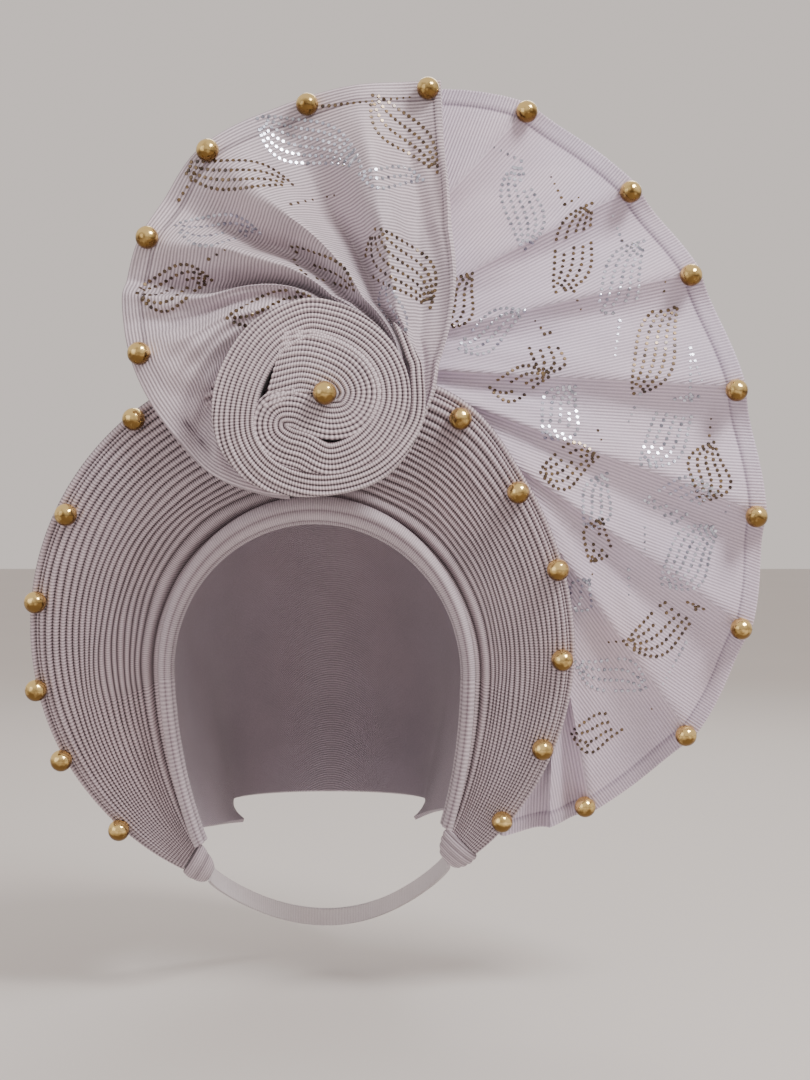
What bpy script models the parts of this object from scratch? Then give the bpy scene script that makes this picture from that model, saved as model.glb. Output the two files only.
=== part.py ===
"""Tied gele head tie: a pleated halo round the face, a wound rosette and two fans, with gold beads.

Metres, +Z up, the front faces -Y. The origin is the crown of the head, inside the cap.
Angles round the halo and the face run clockwise as seen from the front, from straight down.
Angles in the fans run clockwise as seen from the front, from straight up.
"""
import math

import bmesh
import bpy
from mathutils import Vector
from mathutils.bvhtree import BVHTree

# Clearances and cloth walls
SEAT_GAP = 0.0003
TUCK_GAP = 0.0006
SEAT_SPACING = 0.0010
CAP_WALL = 0.0020
BAND_WALL = 0.0011
HALO_WALL = 0.0014
WRAP_WALL = 0.0016
FAN_WALL = 0.0014
STRAP_WALL = 0.0016

# Head and cap
HEAD_WIDTH = 0.150
HEAD_LENGTH = 0.196
HEAD_HEIGHT = 0.190
CAP_ROWS = 11
CAP_STATIONS = 22

# Face opening: an oval whose widest line lies below the crown
FACE_HALF_WIDTH = 0.066
FACE_CENTRE_DROP = 0.113
FACE_TOP_RISE = 0.071
FACE_LOWER_REACH = 0.142
FACE_FROM_DEG = 56.0
FACE_TO_DEG = 300.0

# Lean of everything round the face: forward at the top, back at the jaw
LEAN_TOP_HEIGHT = 0.032
LEAN_BOTTOM_DROP = 0.200
LEAN_TOP_FORWARD = 0.082
LEAN_BOTTOM_FORWARD = 0.016
LEAN_CURVE = 1.6
LEAN_ABOVE_SLOPE = 0.15

# Face band: smooth rolled cloth round the opening
BAND_WIDTH_TOP = 0.0115
BAND_WIDTH_SIDE = 0.0058
BAND_FORWARD = 0.0065
RIM_SETBACK = 0.0025
BAND_STATIONS = 32

# Halo: pleats from the face band out to the rim
HALO_RADIUS = 0.123
HALO_CENTRE_ACROSS = -0.0067
HALO_CENTRE_DROP = 0.0885
HALO_FROM_DEG = 26.5
HALO_TO_DEG = 324.0
HALO_DISH = 0.0050
HALO_PLEATS = 17
HALO_PLEAT_DEPTH = 0.0022
HALO_PLEAT_WIDTH = 0.0036
HALO_STATIONS = 40

# Back wrap: draped cloth from behind the halo to the cap
WRAP_TUCK = 0.017
WRAP_LEAST_SHARE = 0.15
WRAP_END_SHARE = 0.50
WRAP_FALL = 1.2
WRAP_GATHERS = 17
WRAP_GATHER_DEPTH = 0.0024
WRAP_ROWS = 5
WRAP_END_INSET = 0.008

# Rosette: one pleated band wound into an oval
ROSETTE_HALF_WIDTH = 0.0447
ROSETTE_HALF_HEIGHT = 0.0409
ROSETTE_ACROSS = 0.0038
ROSETTE_HEIGHT = 0.0105
ROSETTE_THICK = 0.0150
ROSETTE_DOME = 0.0055
ROSETTE_PLEATS = 5
ROSETTE_PLEAT_DEPTH = 0.0020
ROSETTE_STATIONS = 68
ROSETTE_STEP = 0.004

# Left fan: swirls out of the rosette
FAN_LEFT_REACH = 0.152
FAN_LEFT_ROOT = 0.034
FAN_LEFT_FOLD = 0.0075
FAN_LEFT_LEAN = 0.16
FAN_LEFT_STOPS = (0.0, 0.15, 0.5, 1.0)
FAN_LEFT_ROWS = 8
FAN_LEFT_BETWEEN = 2

# Right fan: knife pleats from behind the halo
FAN_RIGHT_REACH = 0.205
FAN_RIGHT_FOLD = 0.0055
FAN_RIGHT_SLOPE = 0.10
FAN_RIGHT_ROWS = 6
FAN_RIGHT_TUCK = 0.0105
FAN_RIGHT_CENTRE_ACROSS = 0.0
FAN_RIGHT_CENTRE_HEIGHT = 0.018

# Bindings and nape strap
BINDING_LENGTH = 0.0135
BINDING_THICK = 0.0070
BINDING_OVERHANG = 0.0014
BINDING_SIDES = 10
STRAP_HEIGHT = 0.0085
STRAP_DIP = 0.040
STRAP_BACK_REACH = 0.068
STRAP_ROUNDNESS = 0.75
STRAP_STEPS = 16

# Beads
BEAD_RADIUS = 0.0050
BEAD_SIDES = 10
BEAD_RINGS_DEG = (-30.0, 0.0, 30.0, 60.0)
BEAD_EDGE_INSET = 0.0046

# Across the face band, from its inner hem outwards
BAND_SECTION = [
    # across share, forward share
    (0.00, -0.95),
    (0.02, 0.00),
    (0.22, 0.75),
    (0.58, 1.00),
    (1.00, 0.45),
]

# The cap behind the rim: where each arch has its top, widest line and base
CAP_SECTIONS = [
    # top back, top rise, middle back, middle rise, base back, base rise, half width
    (-0.250, -0.045, -0.170, -0.570, -0.015, -1.020, 0.950),
    (0.000, 0.000, -0.030, -0.550, 0.030, -1.020, 1.000),
    (0.240, -0.055, 0.120, -0.550, 0.075, -1.020, 1.020),
    (0.440, -0.220, 0.270, -0.600, 0.120, -1.020, 0.980),
    (0.560, -0.470, 0.370, -0.680, 0.160, -1.022, 0.900),
    (0.555, -0.730, 0.410, -0.810, 0.215, -1.026, 0.810),
    (0.440, -0.985, 0.370, -0.990, 0.260, -1.030, 0.700),
]

# The halo's outer edge, which isn't quite round
HALO_EDGE = [
    # angle in degrees, reach share of the halo's radius
    (26.0, 1.080),
    (60.0, 1.035),
    (90.0, 0.990),
    (125.0, 0.967),
    (165.0, 0.971),
    (205.0, 0.985),
    (218.0, 1.000),
    (236.0, 0.970),
    (255.0, 0.976),
    (275.0, 1.008),
    (300.0, 1.060),
    (327.0, 1.117),
]

# Dish of the halo from the face band to the rim
HALO_DISH_SECTION = [
    # across share, forward share
    (0.00, -0.90),
    (0.12, -1.00),
    (0.30, -0.55),
    (0.60, 0.35),
    (0.85, 0.80),
    (1.00, 0.35),
]

# The rosette's band: it curls round the bead, hooks back below it and then winds on outwards
ROSETTE_BAND = [
    # across share, up share, half width share, slant of the station
    (-0.331, 0.376, 0.323, 0.34),
    (-0.122, 0.325, 0.241, 0.12),
    (0.096, 0.277, 0.213, 0.00),
    (0.264, 0.181, 0.184, 0.00),
    (0.344, 0.009, 0.181, 0.00),
    (0.293, -0.170, 0.171, 0.00),
    (0.128, -0.265, 0.168, 0.00),
    (-0.052, -0.222, 0.161, 0.00),
    (-0.195, -0.139, 0.152, 0.00),
    (-0.327, -0.119, 0.148, 0.00),
    (-0.434, -0.192, 0.140, 0.00),
    (-0.469, -0.318, 0.128, 0.00),
    (-0.426, -0.454, 0.125, 0.00),
    (-0.305, -0.552, 0.128, 0.00),
    (-0.137, -0.619, 0.133, 0.00),
    (0.096, -0.655, 0.137, 0.00),
    (0.329, -0.597, 0.143, 0.00),
    (0.519, -0.450, 0.149, 0.00),
    (0.647, -0.246, 0.154, 0.00),
    (0.700, -0.023, 0.152, 0.00),
    (0.662, 0.216, 0.152, 0.00),
    (0.548, 0.436, 0.158, 0.00),
    (0.366, 0.618, 0.161, 0.00),
    (0.128, 0.755, 0.152, 0.00),
    (-0.122, 0.830, 0.131, 0.00),
    (-0.520, 0.580, 0.155, 0.00),
    (-0.774, 0.089, 0.165, 0.00),
    (-0.776, -0.414, 0.158, 0.00),
    (-0.484, -0.796, 0.143, 0.00),
    (0.023, -0.919, 0.091, 0.00),
    (0.566, -0.750, 0.084, 0.00),
    (0.901, -0.278, 0.064, 0.00),
    (0.920, 0.232, 0.058, 0.00),
    (0.851, 0.440, 0.040, 0.00),
]

# Fold lines of the left fan, from its lower end clockwise to its free edge
FAN_LEFT_FOLDS = [
    # edge angle, edge reach share, middle angle, near angle, root angle, rise share
    (-163.0, 0.290, -158.0, -152.0, -146.0, -0.30),
    (-143.0, 0.325, -132.0, -115.0, -104.0, -0.10),
    (-125.0, 0.372, -108.0, -80.0, -62.0, 0.05),
    (-108.0, 0.412, -88.0, -50.0, -22.0, -0.75),
    (-92.0, 0.476, -74.0, -36.0, -4.0, 0.30),
    (-78.0, 0.548, -61.0, -20.0, 14.0, 0.75),
    (-69.0, 0.601, -54.0, -10.0, 26.0, 0.10),
    (-62.0, 0.640, -47.5, -1.0, 36.0, 0.60),
    (-58.0, 0.658, -42.5, 2.0, 44.0, -0.65),
    (-48.5, 0.697, -28.0, 6.0, 55.0, 0.85),
    (-38.0, 0.742, -20.0, 14.0, 65.0, -0.55),
    (-25.5, 0.812, -9.5, 22.0, 76.0, 1.00),
    (-9.0, 0.872, 3.0, 30.0, 88.0, -0.70),
    (6.0, 0.925, 16.0, 40.0, 102.0, 0.90),
    (14.0, 0.965, 27.0, 56.0, 120.0, -0.30),
    (20.0, 1.000, 36.5, 74.0, 138.0, 0.25),
]

# Creases of the right fan, from the top clockwise to its lower end. Roots turn about the halo's centre.
FAN_RIGHT_CREASES = [
    # edge angle, edge reach share, root angle, root radius share
    (15.0, 0.700, -1.1, 1.080),
    (36.7, 0.788, 0.8, 1.067),
    (57.5, 0.836, 1.8, 1.058),
    (72.9, 0.879, 2.6, 1.045),
    (89.9, 0.937, 3.2, 1.028),
    (105.6, 1.028, 16.7, 1.043),
    (118.8, 1.105, 35.0, 1.000),
    (132.6, 1.156, 57.4, 1.000),
    (146.8, 1.148, 72.0, 1.000),
    (152.0, 1.126, 105.0, 1.050),
    (157.6, 1.096, 134.0, 1.110),
]

# Across one panel of the right fan: the crease, the dip behind it and the rise to the next
KNIFE_SECTION = [
    # panel share, rise share
    (0.00, 1.00),
    (0.16, -1.00),
    (0.55, 0.05),
]

# Along a binding, from the pleats to its tip
BINDING_SECTION = [
    # length share, width share, thickness share, backwards share of the length
    (0.00, 1.00, 0.80, 0.00),
    (0.35, 0.95, 1.00, 0.00),
    (0.75, 0.75, 0.90, 0.12),
    (1.00, 0.50, 0.70, 0.25),
]

# Beads round the halo, on its left and its right
HALO_BEADS_LEFT = [
    # angle in degrees, inset in bead radii
    (142.1, 0.8),
    (116.3, 1.3),
    (95.7, 0.8),
    (76.7, 0.3),
    (61.0, 0.1),
    (42.2, 0.2),
]
HALO_BEADS_RIGHT = [
    # angle in degrees, inset in bead radii
    (217.7, 1.6),
    (238.0, 1.3),
    (257.1, 0.8),
    (277.0, 1.3),
    (297.1, 1.3),
    (315.0, 0.9),
]

# Folds and creases of the fans that end in a bead, and the rosette's bead
FAN_LEFT_BEAD_FOLDS = [5, 9, 11, 12.35, 14.6]
FAN_RIGHT_BEAD_CREASES = [1, 2, 3, 4, 5, 6, 7, 8]
ROSETTE_BEAD_ACROSS = 0.07
ROSETTE_BEAD_UP = 0.00

# Colours of the finishes: red, green, blue, roughness, metallic
LILAC = (0.58, 0.52, 0.57, 0.62, 0.0)
LILAC_LIGHT = (0.62, 0.56, 0.63, 0.50, 0.0)
LILAC_SHADE = (0.44, 0.39, 0.44, 0.70, 0.0)
GOLD = (0.83, 0.60, 0.24, 0.22, 1.0)


def material(name, finish):
    """Material with one Principled BSDF of the given colour, roughness and metallic value."""
    red, green, blue, roughness, metallic = finish
    made = bpy.data.materials.new(name)
    made.use_nodes = True
    shader = made.node_tree.nodes["Principled BSDF"]
    shader.inputs["Base Color"].default_value = (red, green, blue, 1.0)
    shader.inputs["Roughness"].default_value = roughness
    shader.inputs["Metallic"].default_value = metallic
    made.diffuse_color = (red, green, blue, 1.0)
    return made


def smooth_table(rows, position):
    """Values between the rows of a table, on a smooth curve through them; position counts rows."""
    last = len(rows) - 1
    position = min(max(position, 0.0), float(last))
    index = min(int(position), last - 1)
    t = position - index
    before = rows[max(index - 1, 0)]
    here = rows[index]
    after = rows[index + 1]
    beyond = rows[min(index + 2, last)]
    values = []
    for p0, p1, p2, p3 in zip(before, here, after, beyond):
        slope_in = 0.5 * (p2 - p0)
        slope_out = 0.5 * (p3 - p1)
        values.append((2 * t**3 - 3 * t**2 + 1) * p1 + (t**3 - 2 * t**2 + t) * slope_in
                      + (3 * t**2 - 2 * t**3) * p2 + (t**3 - t**2) * slope_out)
    return values


def at_key(rows, key):
    """The second column of a table at a value of its first column."""
    index = 0
    while index < len(rows) - 2 and rows[index + 1][0] < key:
        index += 1
    share = (key - rows[index][0]) / (rows[index + 1][0] - rows[index][0])
    return smooth_table(rows, index + min(max(share, 0.0), 1.0))[1]


def lean_y(z):
    """Depth of the leaning face plane at a height."""
    if z > LEAN_TOP_HEIGHT:
        return -LEAN_TOP_FORWARD + LEAN_ABOVE_SLOPE * (z - LEAN_TOP_HEIGHT)
    fall = (LEAN_TOP_HEIGHT - z) / (LEAN_TOP_HEIGHT + LEAN_BOTTOM_DROP)
    travel = LEAN_TOP_FORWARD - LEAN_BOTTOM_FORWARD
    return -LEAN_TOP_FORWARD + travel * fall**LEAN_CURVE


def face_point(turn, outwards):
    """Across and height of a point outside the face oval; turn runs 0 to 1 round it."""
    angle = math.radians(FACE_FROM_DEG + (FACE_TO_DEG - FACE_FROM_DEG) * turn)
    reach = FACE_TOP_RISE if math.cos(angle) < 0 else FACE_LOWER_REACH
    across = -(FACE_HALF_WIDTH + outwards) * math.sin(angle)
    height = -FACE_CENTRE_DROP - (reach + outwards) * math.cos(angle)
    return across, height


def band_width(turn):
    """Width of the face band, broad at the forehead and narrow at the sides."""
    angle = math.radians(FACE_FROM_DEG + (FACE_TO_DEG - FACE_FROM_DEG) * turn)
    crown = max(0.0, -math.cos(angle))**2
    return BAND_WIDTH_SIDE + (BAND_WIDTH_TOP - BAND_WIDTH_SIDE) * crown


def cap_rim_outwards():
    """How far outside the face oval the cap's outer side lies at its rim."""
    return BAND_WALL + TUCK_GAP + CAP_WALL


def halo_edge_point(turn, inset):
    """Across and height of the halo's outer edge, moved in by an inset."""
    degrees = HALO_FROM_DEG + (HALO_TO_DEG - HALO_FROM_DEG) * turn
    reach = HALO_RADIUS * at_key(HALO_EDGE, degrees) - inset
    angle = math.radians(degrees)
    return HALO_CENTRE_ACROSS - reach * math.sin(angle), -HALO_CENTRE_DROP - reach * math.cos(angle)


def halo_point(turn, share):
    """Point of the halo's cloth without its pleats; share runs from the face band to the rim."""
    inner_across, inner_height = face_point(turn, cap_rim_outwards() + TUCK_GAP)
    outer_across, outer_height = halo_edge_point(turn, 0.0)
    across = inner_across + (outer_across - inner_across) * share
    height = inner_height + (outer_height - inner_height) * share
    fade = min(1.0, math.hypot(outer_across - inner_across, outer_height - inner_height)
               / (HALO_PLEATS * HALO_PLEAT_WIDTH))
    forward = HALO_DISH * at_key(HALO_DISH_SECTION, share) * fade
    return Vector((across, lean_y(height) - forward, height))


def halo_width_share(turn):
    """How wide the halo is here, against the full width of its pleats."""
    inner_across, inner_height = face_point(turn, cap_rim_outwards() + TUCK_GAP)
    outer_across, outer_height = halo_edge_point(turn, 0.0)
    width = math.hypot(outer_across - inner_across, outer_height - inner_height)
    return min(1.0, width / (HALO_PLEATS * HALO_PLEAT_WIDTH))


def cap_rim_point(turn, setback):
    """Point of the cap's outer side at its rim, set back behind the leaning face plane."""
    across, height = face_point(turn, cap_rim_outwards())
    return Vector((across, lean_y(height) + setback, height))


def cap_point(back, turn):
    """Point of the cap's outer side; back runs from just behind the halo to the nape."""
    collar = cap_rim_point(turn, HALO_DISH + HALO_WALL + TUCK_GAP + SEAT_GAP)
    angle = math.radians(FACE_FROM_DEG + (FACE_TO_DEG - FACE_FROM_DEG) * turn)
    arches = []
    for top_y, top_z, mid_y, mid_z, base_y, base_z, half in CAP_SECTIONS:
        top = Vector((0.0, top_y * HEAD_LENGTH, top_z * HEAD_HEIGHT + CAP_WALL))
        middle = Vector((0.0, mid_y * HEAD_LENGTH, mid_z * HEAD_HEIGHT))
        base = Vector((0.0, base_y * HEAD_LENGTH, base_z * HEAD_HEIGHT))
        climb = -math.cos(angle)
        if climb >= 0.0:
            point = middle + (top - middle) * climb
        else:
            point = middle + (base - middle) * (-climb / math.cos(math.radians(FACE_FROM_DEG)))
        point.x = -half * (HEAD_WIDTH / 2) * math.sin(angle)
        arches.append(tuple(point))
    return Vector(smooth_table([tuple(collar)] + arches, back * len(arches)))


def fan_left_point(fold, out):
    """Point of the left fan without its folds; out runs from the root to the edge."""
    edge, reach, middle, near, root, rise = smooth_table(FAN_LEFT_FOLDS, fold)
    turns = [(root,), (near,), (middle,), (edge,)]
    stops = FAN_LEFT_STOPS
    index = 0
    while index < 2 and stops[index + 1] < out:
        index += 1
    share = (out - stops[index]) / (stops[index + 1] - stops[index])
    angle = math.radians(smooth_table(turns, index + share)[0])
    radius = FAN_LEFT_ROOT + (reach * FAN_LEFT_REACH - FAN_LEFT_ROOT) * out
    across = ROSETTE_ACROSS + radius * math.sin(angle)
    height = ROSETTE_HEIGHT + radius * math.cos(angle)
    swell = math.sin(math.pi * min(1.0, 0.12 + out * 0.72))
    forward = rise * FAN_LEFT_FOLD * swell
    depth = -LEAN_TOP_FORWARD + FAN_LEFT_LEAN * (height - ROSETTE_HEIGHT) - forward
    return Vector((across, depth, height))


def fan_right_point(crease, out, rise):
    """Point of the right fan; out runs from the tucked root to the edge."""
    edge, reach, root, root_reach = smooth_table(FAN_RIGHT_CREASES, crease)
    angle = math.radians(edge)
    outer_across = FAN_RIGHT_CENTRE_ACROSS + reach * FAN_RIGHT_REACH * math.sin(angle)
    outer_height = FAN_RIGHT_CENTRE_HEIGHT + reach * FAN_RIGHT_REACH * math.cos(angle)
    root_angle = math.radians(root)
    root_radius = root_reach * (HALO_RADIUS - FAN_RIGHT_TUCK)
    inner_across = HALO_CENTRE_ACROSS + root_radius * math.sin(root_angle)
    inner_height = -HALO_CENTRE_DROP + root_radius * math.cos(root_angle)
    across = inner_across + (outer_across - inner_across) * out
    height = inner_height + (outer_height - inner_height) * out
    length = math.hypot(outer_across - inner_across, outer_height - inner_height)
    forward = rise * FAN_RIGHT_FOLD * (0.15 + 0.85 * out)
    return Vector((across, lean_y(height) + FAN_RIGHT_SLOPE * length * out - forward, height))


def sheet_solid(name, rows, wall, finish, relief=None, back_step=1):
    """One closed cloth wall: rows of points seen from the front, raised by relief, backed by a wall."""
    count = len(rows)
    along = len(rows[0])
    normals = []
    for i in range(count):
        line = []
        for j in range(along):
            step_across = rows[min(i + 1, count - 1)][j] - rows[max(i - 1, 0)][j]
            step_along = rows[i][min(j + 1, along - 1)] - rows[i][max(j - 1, 0)]
            line.append(step_along.cross(step_across).normalized())
        normals.append(line)
    backs = list(range(0, count - 1, back_step)) + [count - 1]
    bm = bmesh.new()
    front = []
    for i in range(count):
        line = []
        for j in range(along):
            lift = relief[i][j] if relief else 0.0
            line.append(bm.verts.new(rows[i][j] + normals[i][j] * lift))
        front.append(line)
    back = {i: [bm.verts.new(rows[i][j] - normals[i][j] * wall) for j in range(along)] for i in backs}
    for j in range(along - 1):
        for i in range(count - 1):
            bm.faces.new((front[i][j], front[i + 1][j], front[i + 1][j + 1], front[i][j + 1]))
        for low, high in zip(backs, backs[1:]):
            bm.faces.new((back[low][j], back[low][j + 1], back[high][j + 1], back[high][j]))
        bm.faces.new((front[0][j], front[0][j + 1], back[0][j + 1], back[0][j]))
        bm.faces.new((front[-1][j], back[backs[-1]][j], back[backs[-1]][j + 1], front[-1][j + 1]))
    for low, high in zip(backs, backs[1:]):
        for j in (0, along - 1):
            loop = [front[i][j] for i in range(low, high + 1)] + [back[high][j], back[low][j]]
            bm.faces.new(loop if j else loop[::-1])
    bmesh.ops.recalc_face_normals(bm, faces=bm.faces)
    return finish_object(name, bm, finish)


def finish_object(name, bm, finish):
    """Turn a bmesh into a smooth shaded object with its own material."""
    mesh = bpy.data.meshes.new(name)
    bm.to_mesh(mesh)
    bm.free()
    mesh.shade_smooth()
    mesh.set_sharp_from_angle(angle=math.radians(40.0))
    made = bpy.data.objects.new(name, mesh)
    made.data.materials.append(material(name + "_finish", finish))
    bpy.context.scene.collection.objects.link(made)
    return made


def tree_of(pieces):
    """Search tree over the faces of some pieces."""
    points = []
    faces = []
    for piece in pieces:
        start = len(points)
        points.extend(vertex.co.copy() for vertex in piece.data.vertices)
        faces.extend([start + index for index in face.vertices] for face in piece.data.polygons)
    return BVHTree.FromPolygons(points, faces)


def samples_of(pieces):
    """Corners of some pieces and points spaced evenly along their edges."""
    points = []
    for piece in pieces:
        corners = [vertex.co.copy() for vertex in piece.data.vertices]
        points.extend(corners)
        for a, b in (edge.vertices for edge in piece.data.edges):
            steps = int((corners[a] - corners[b]).length / SEAT_SPACING) + 2
            points.extend(corners[a].lerp(corners[b], k / steps) for k in range(1, steps))
    return points


def seat(piece, carriers, direction, gap):
    """Slide a piece along a direction until it lies a gap away from what carries it."""
    far = max(HALO_RADIUS, FAN_RIGHT_REACH) * 4
    for vertex in piece.data.vertices:
        vertex.co -= direction * far
    ground = tree_of(carriers)
    own = tree_of([piece])
    reaches = []
    for point in samples_of([piece]):
        distance = ground.ray_cast(point, direction)[3]
        if distance is not None:
            reaches.append(distance)
    for point in samples_of(carriers):
        distance = own.ray_cast(point, -direction)[3]
        if distance is not None:
            reaches.append(distance)
    travel = min(reaches) - gap if reaches else far
    for vertex in piece.data.vertices:
        vertex.co += direction * travel


def head_cap():
    """Dome of cloth over the head, from the face rim to the nape."""
    turns = [j / (CAP_STATIONS - 1) for j in range(CAP_STATIONS)]
    rows = [[cap_rim_point(turn, RIM_SETBACK) for turn in turns]]
    for i in range(CAP_ROWS):
        rows.append([cap_point(i / (CAP_ROWS - 1), turn) for turn in turns])
    return sheet_solid("head_cap", rows, CAP_WALL, LILAC_SHADE)


def face_band():
    """Smooth rolled band round the face opening."""
    rows = []
    for across_share, forward_share in BAND_SECTION:
        row = []
        for j in range(BAND_STATIONS):
            turn = j / (BAND_STATIONS - 1)
            across, height = face_point(turn, across_share * band_width(turn))
            row.append(Vector((across, lean_y(height) - forward_share * BAND_FORWARD, height)))
        rows.append(row)
    return sheet_solid("face_band", rows, BAND_WALL, LILAC_LIGHT)


def halo_pleats():
    """Halo of pleats that run round the face and meet at the two bindings."""
    rows = []
    relief = []
    steps = HALO_PLEATS * 2
    for i in range(steps + 1):
        turns = [j / (HALO_STATIONS - 1) for j in range(HALO_STATIONS)]
        rows.append([halo_point(turn, i / steps) for turn in turns])
        relief.append([HALO_PLEAT_DEPTH * halo_width_share(turn) * (i % 2) for turn in turns])
    return sheet_solid("halo_pleats", rows, HALO_WALL, LILAC, relief, back_step=6)


def wrap_start(turn):
    """Where the back wrap starts behind the halo, a tuck inside the halo's rim."""
    inner = Vector(face_point(turn, cap_rim_outwards() + TUCK_GAP))
    rim = Vector(halo_edge_point(turn, 0.0))
    width = (rim - inner).length
    start = halo_point(turn, max(width - WRAP_TUCK, width * WRAP_LEAST_SHARE) / width)
    start.y += HALO_WALL + WRAP_WALL + SEAT_GAP + TUCK_GAP
    return start


def back_wrap():
    """Draped cloth from behind the halo to the cap, with soft gathers."""
    stations = 2 * WRAP_GATHERS + 1
    clearance = WRAP_WALL + TUCK_GAP + SEAT_GAP
    rows = []
    for i in range(WRAP_ROWS + 1):
        share = i / WRAP_ROWS
        row = []
        for j in range(stations):
            turn = WRAP_END_INSET + (1.0 - 2 * WRAP_END_INSET) * j / (stations - 1)
            on_cap = cap_point(WRAP_END_SHARE * share, turn)
            outwards = Vector((on_cap.x, 0.0, on_cap.z + FACE_CENTRE_DROP)).normalized()
            gather = WRAP_GATHER_DEPTH * (j % 2) * math.sin(math.pi * share)
            off_cap = (wrap_start(turn) - cap_point(0.0, turn)) * (1.0 - share)**WRAP_FALL
            row.append(on_cap + off_cap + outwards * (clearance * share + gather))
        rows.append(row)
    return sheet_solid("back_wrap", rows, WRAP_WALL, LILAC)


def rosette_spine(share):
    """Across, height, half width and slant of the rosette's band, along its length."""
    across, up, half, slant = smooth_table(ROSETTE_BAND, share * (len(ROSETTE_BAND) - 1))
    return (ROSETTE_ACROSS + across * ROSETTE_HALF_WIDTH, ROSETTE_HEIGHT + up * ROSETTE_HALF_HEIGHT,
            half * (ROSETTE_HALF_WIDTH + ROSETTE_HALF_HEIGHT) / 2 - SEAT_GAP, slant)


def rosette_front(across, height):
    """Depth of the rosette's domed front before it is seated."""
    reach = math.hypot((across - ROSETTE_ACROSS) / ROSETTE_HALF_WIDTH,
                       (height - ROSETTE_HEIGHT) / ROSETTE_HALF_HEIGHT)
    return -ROSETTE_THICK - ROSETTE_DOME * (1.0 - min(reach, 1.2)**2)


def rosette():
    """Wound rosette: one pleated band that curls on itself, solid behind its pleats."""
    steps = ROSETTE_PLEATS * 2
    bm = bmesh.new()
    fronts = []
    backs = []
    for j in range(ROSETTE_STATIONS):
        share = j / (ROSETTE_STATIONS - 1)
        across, height, half, slant = rosette_spine(share)
        before = rosette_spine(max(share - ROSETTE_STEP, 0.0))
        after = rosette_spine(min(share + ROSETTE_STEP, 1.0))
        run = Vector((after[0] - before[0], after[1] - before[1])).normalized()
        side = Vector((-run.y, run.x)) - run * slant
        front = []
        for i in range(steps + 1):
            offset = half * (2 * i / steps - 1)
            x = across + side.x * offset
            z = height + side.y * offset
            dip = ROSETTE_PLEAT_DEPTH * ((i + 1) % 2)
            front.append(bm.verts.new((x, rosette_front(x, z) + dip, z)))
        fronts.append(front)
        backs.append([bm.verts.new((front[k].co.x, 0.0, front[k].co.z)) for k in (0, steps)])
    for j in range(ROSETTE_STATIONS - 1):
        here, there = fronts[j], fronts[j + 1]
        for i in range(steps):
            bm.faces.new((here[i], here[i + 1], there[i + 1], there[i]))
        bm.faces.new((backs[j][0], backs[j + 1][0], backs[j + 1][1], backs[j][1]))
        bm.faces.new((here[0], there[0], backs[j + 1][0], backs[j][0]))
        bm.faces.new((here[-1], backs[j][1], backs[j + 1][1], there[-1]))
    bm.faces.new(fronts[0] + [backs[0][1], backs[0][0]])
    bm.faces.new(fronts[-1][::-1] + [backs[-1][0], backs[-1][1]])
    bmesh.ops.recalc_face_normals(bm, faces=bm.faces)
    return finish_object("rosette", bm, LILAC)


def fan_left():
    """Left fan, swirling out of the rosette, with a free edge on its right."""
    columns = (len(FAN_LEFT_FOLDS) - 1) * FAN_LEFT_BETWEEN
    rows = []
    for i in range(FAN_LEFT_ROWS):
        out = i / (FAN_LEFT_ROWS - 1)
        rows.append([fan_left_point(j / FAN_LEFT_BETWEEN, out) for j in range(columns + 1)])
    return sheet_solid("fan_left", rows, FAN_WALL, LILAC)


def fan_right():
    """Right fan of knife pleats that come from behind the halo."""
    rows = []
    for i in range(FAN_RIGHT_ROWS):
        out = i / (FAN_RIGHT_ROWS - 1)
        row = []
        for crease in range(len(FAN_RIGHT_CREASES) - 1):
            row.extend(fan_right_point(crease + share, out, rise) for share, rise in KNIFE_SECTION)
        row.append(fan_right_point(len(FAN_RIGHT_CREASES) - 1, out, 0.0))
        rows.append(row)
    return sheet_solid("fan_right", rows, FAN_WALL, LILAC_LIGHT)


def binding(name, turn, onwards):
    """Wrap of cloth that holds the pleats together where the halo ends."""
    inner = halo_point(turn, 0.0)
    outer = halo_point(turn, 1.0)
    run = (halo_point(turn, 0.5) - halo_point(turn - onwards * 0.01, 0.5)).normalized()
    wide = (outer - inner)
    forward = wide.cross(run).normalized()
    middle = (inner + outer) / 2
    sides = BINDING_SIDES
    rings = []
    bm = bmesh.new()
    for share, width_share, thick_share, back in BINDING_SECTION:
        centre = middle + run * (SEAT_GAP + BINDING_LENGTH * share) + Vector((0, BINDING_LENGTH * back, 0))
        half = (wide.length / 2 + BINDING_OVERHANG) * width_share
        ring = []
        for k in range(sides):
            angle = 2 * math.pi * k / sides
            ring.append(bm.verts.new(centre + wide.normalized() * half * math.cos(angle)
                                     + forward * BINDING_THICK / 2 * thick_share * math.sin(angle)))
        rings.append(ring)
    for low, high in zip(rings, rings[1:]):
        for k in range(sides):
            following = (k + 1) % sides
            bm.faces.new((low[k], low[following], high[following], high[k]))
    bm.faces.new(rings[0])
    bm.faces.new(rings[-1][::-1])
    bmesh.ops.recalc_face_normals(bm, faces=bm.faces)
    return finish_object(name, bm, LILAC_SHADE), centre


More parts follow.
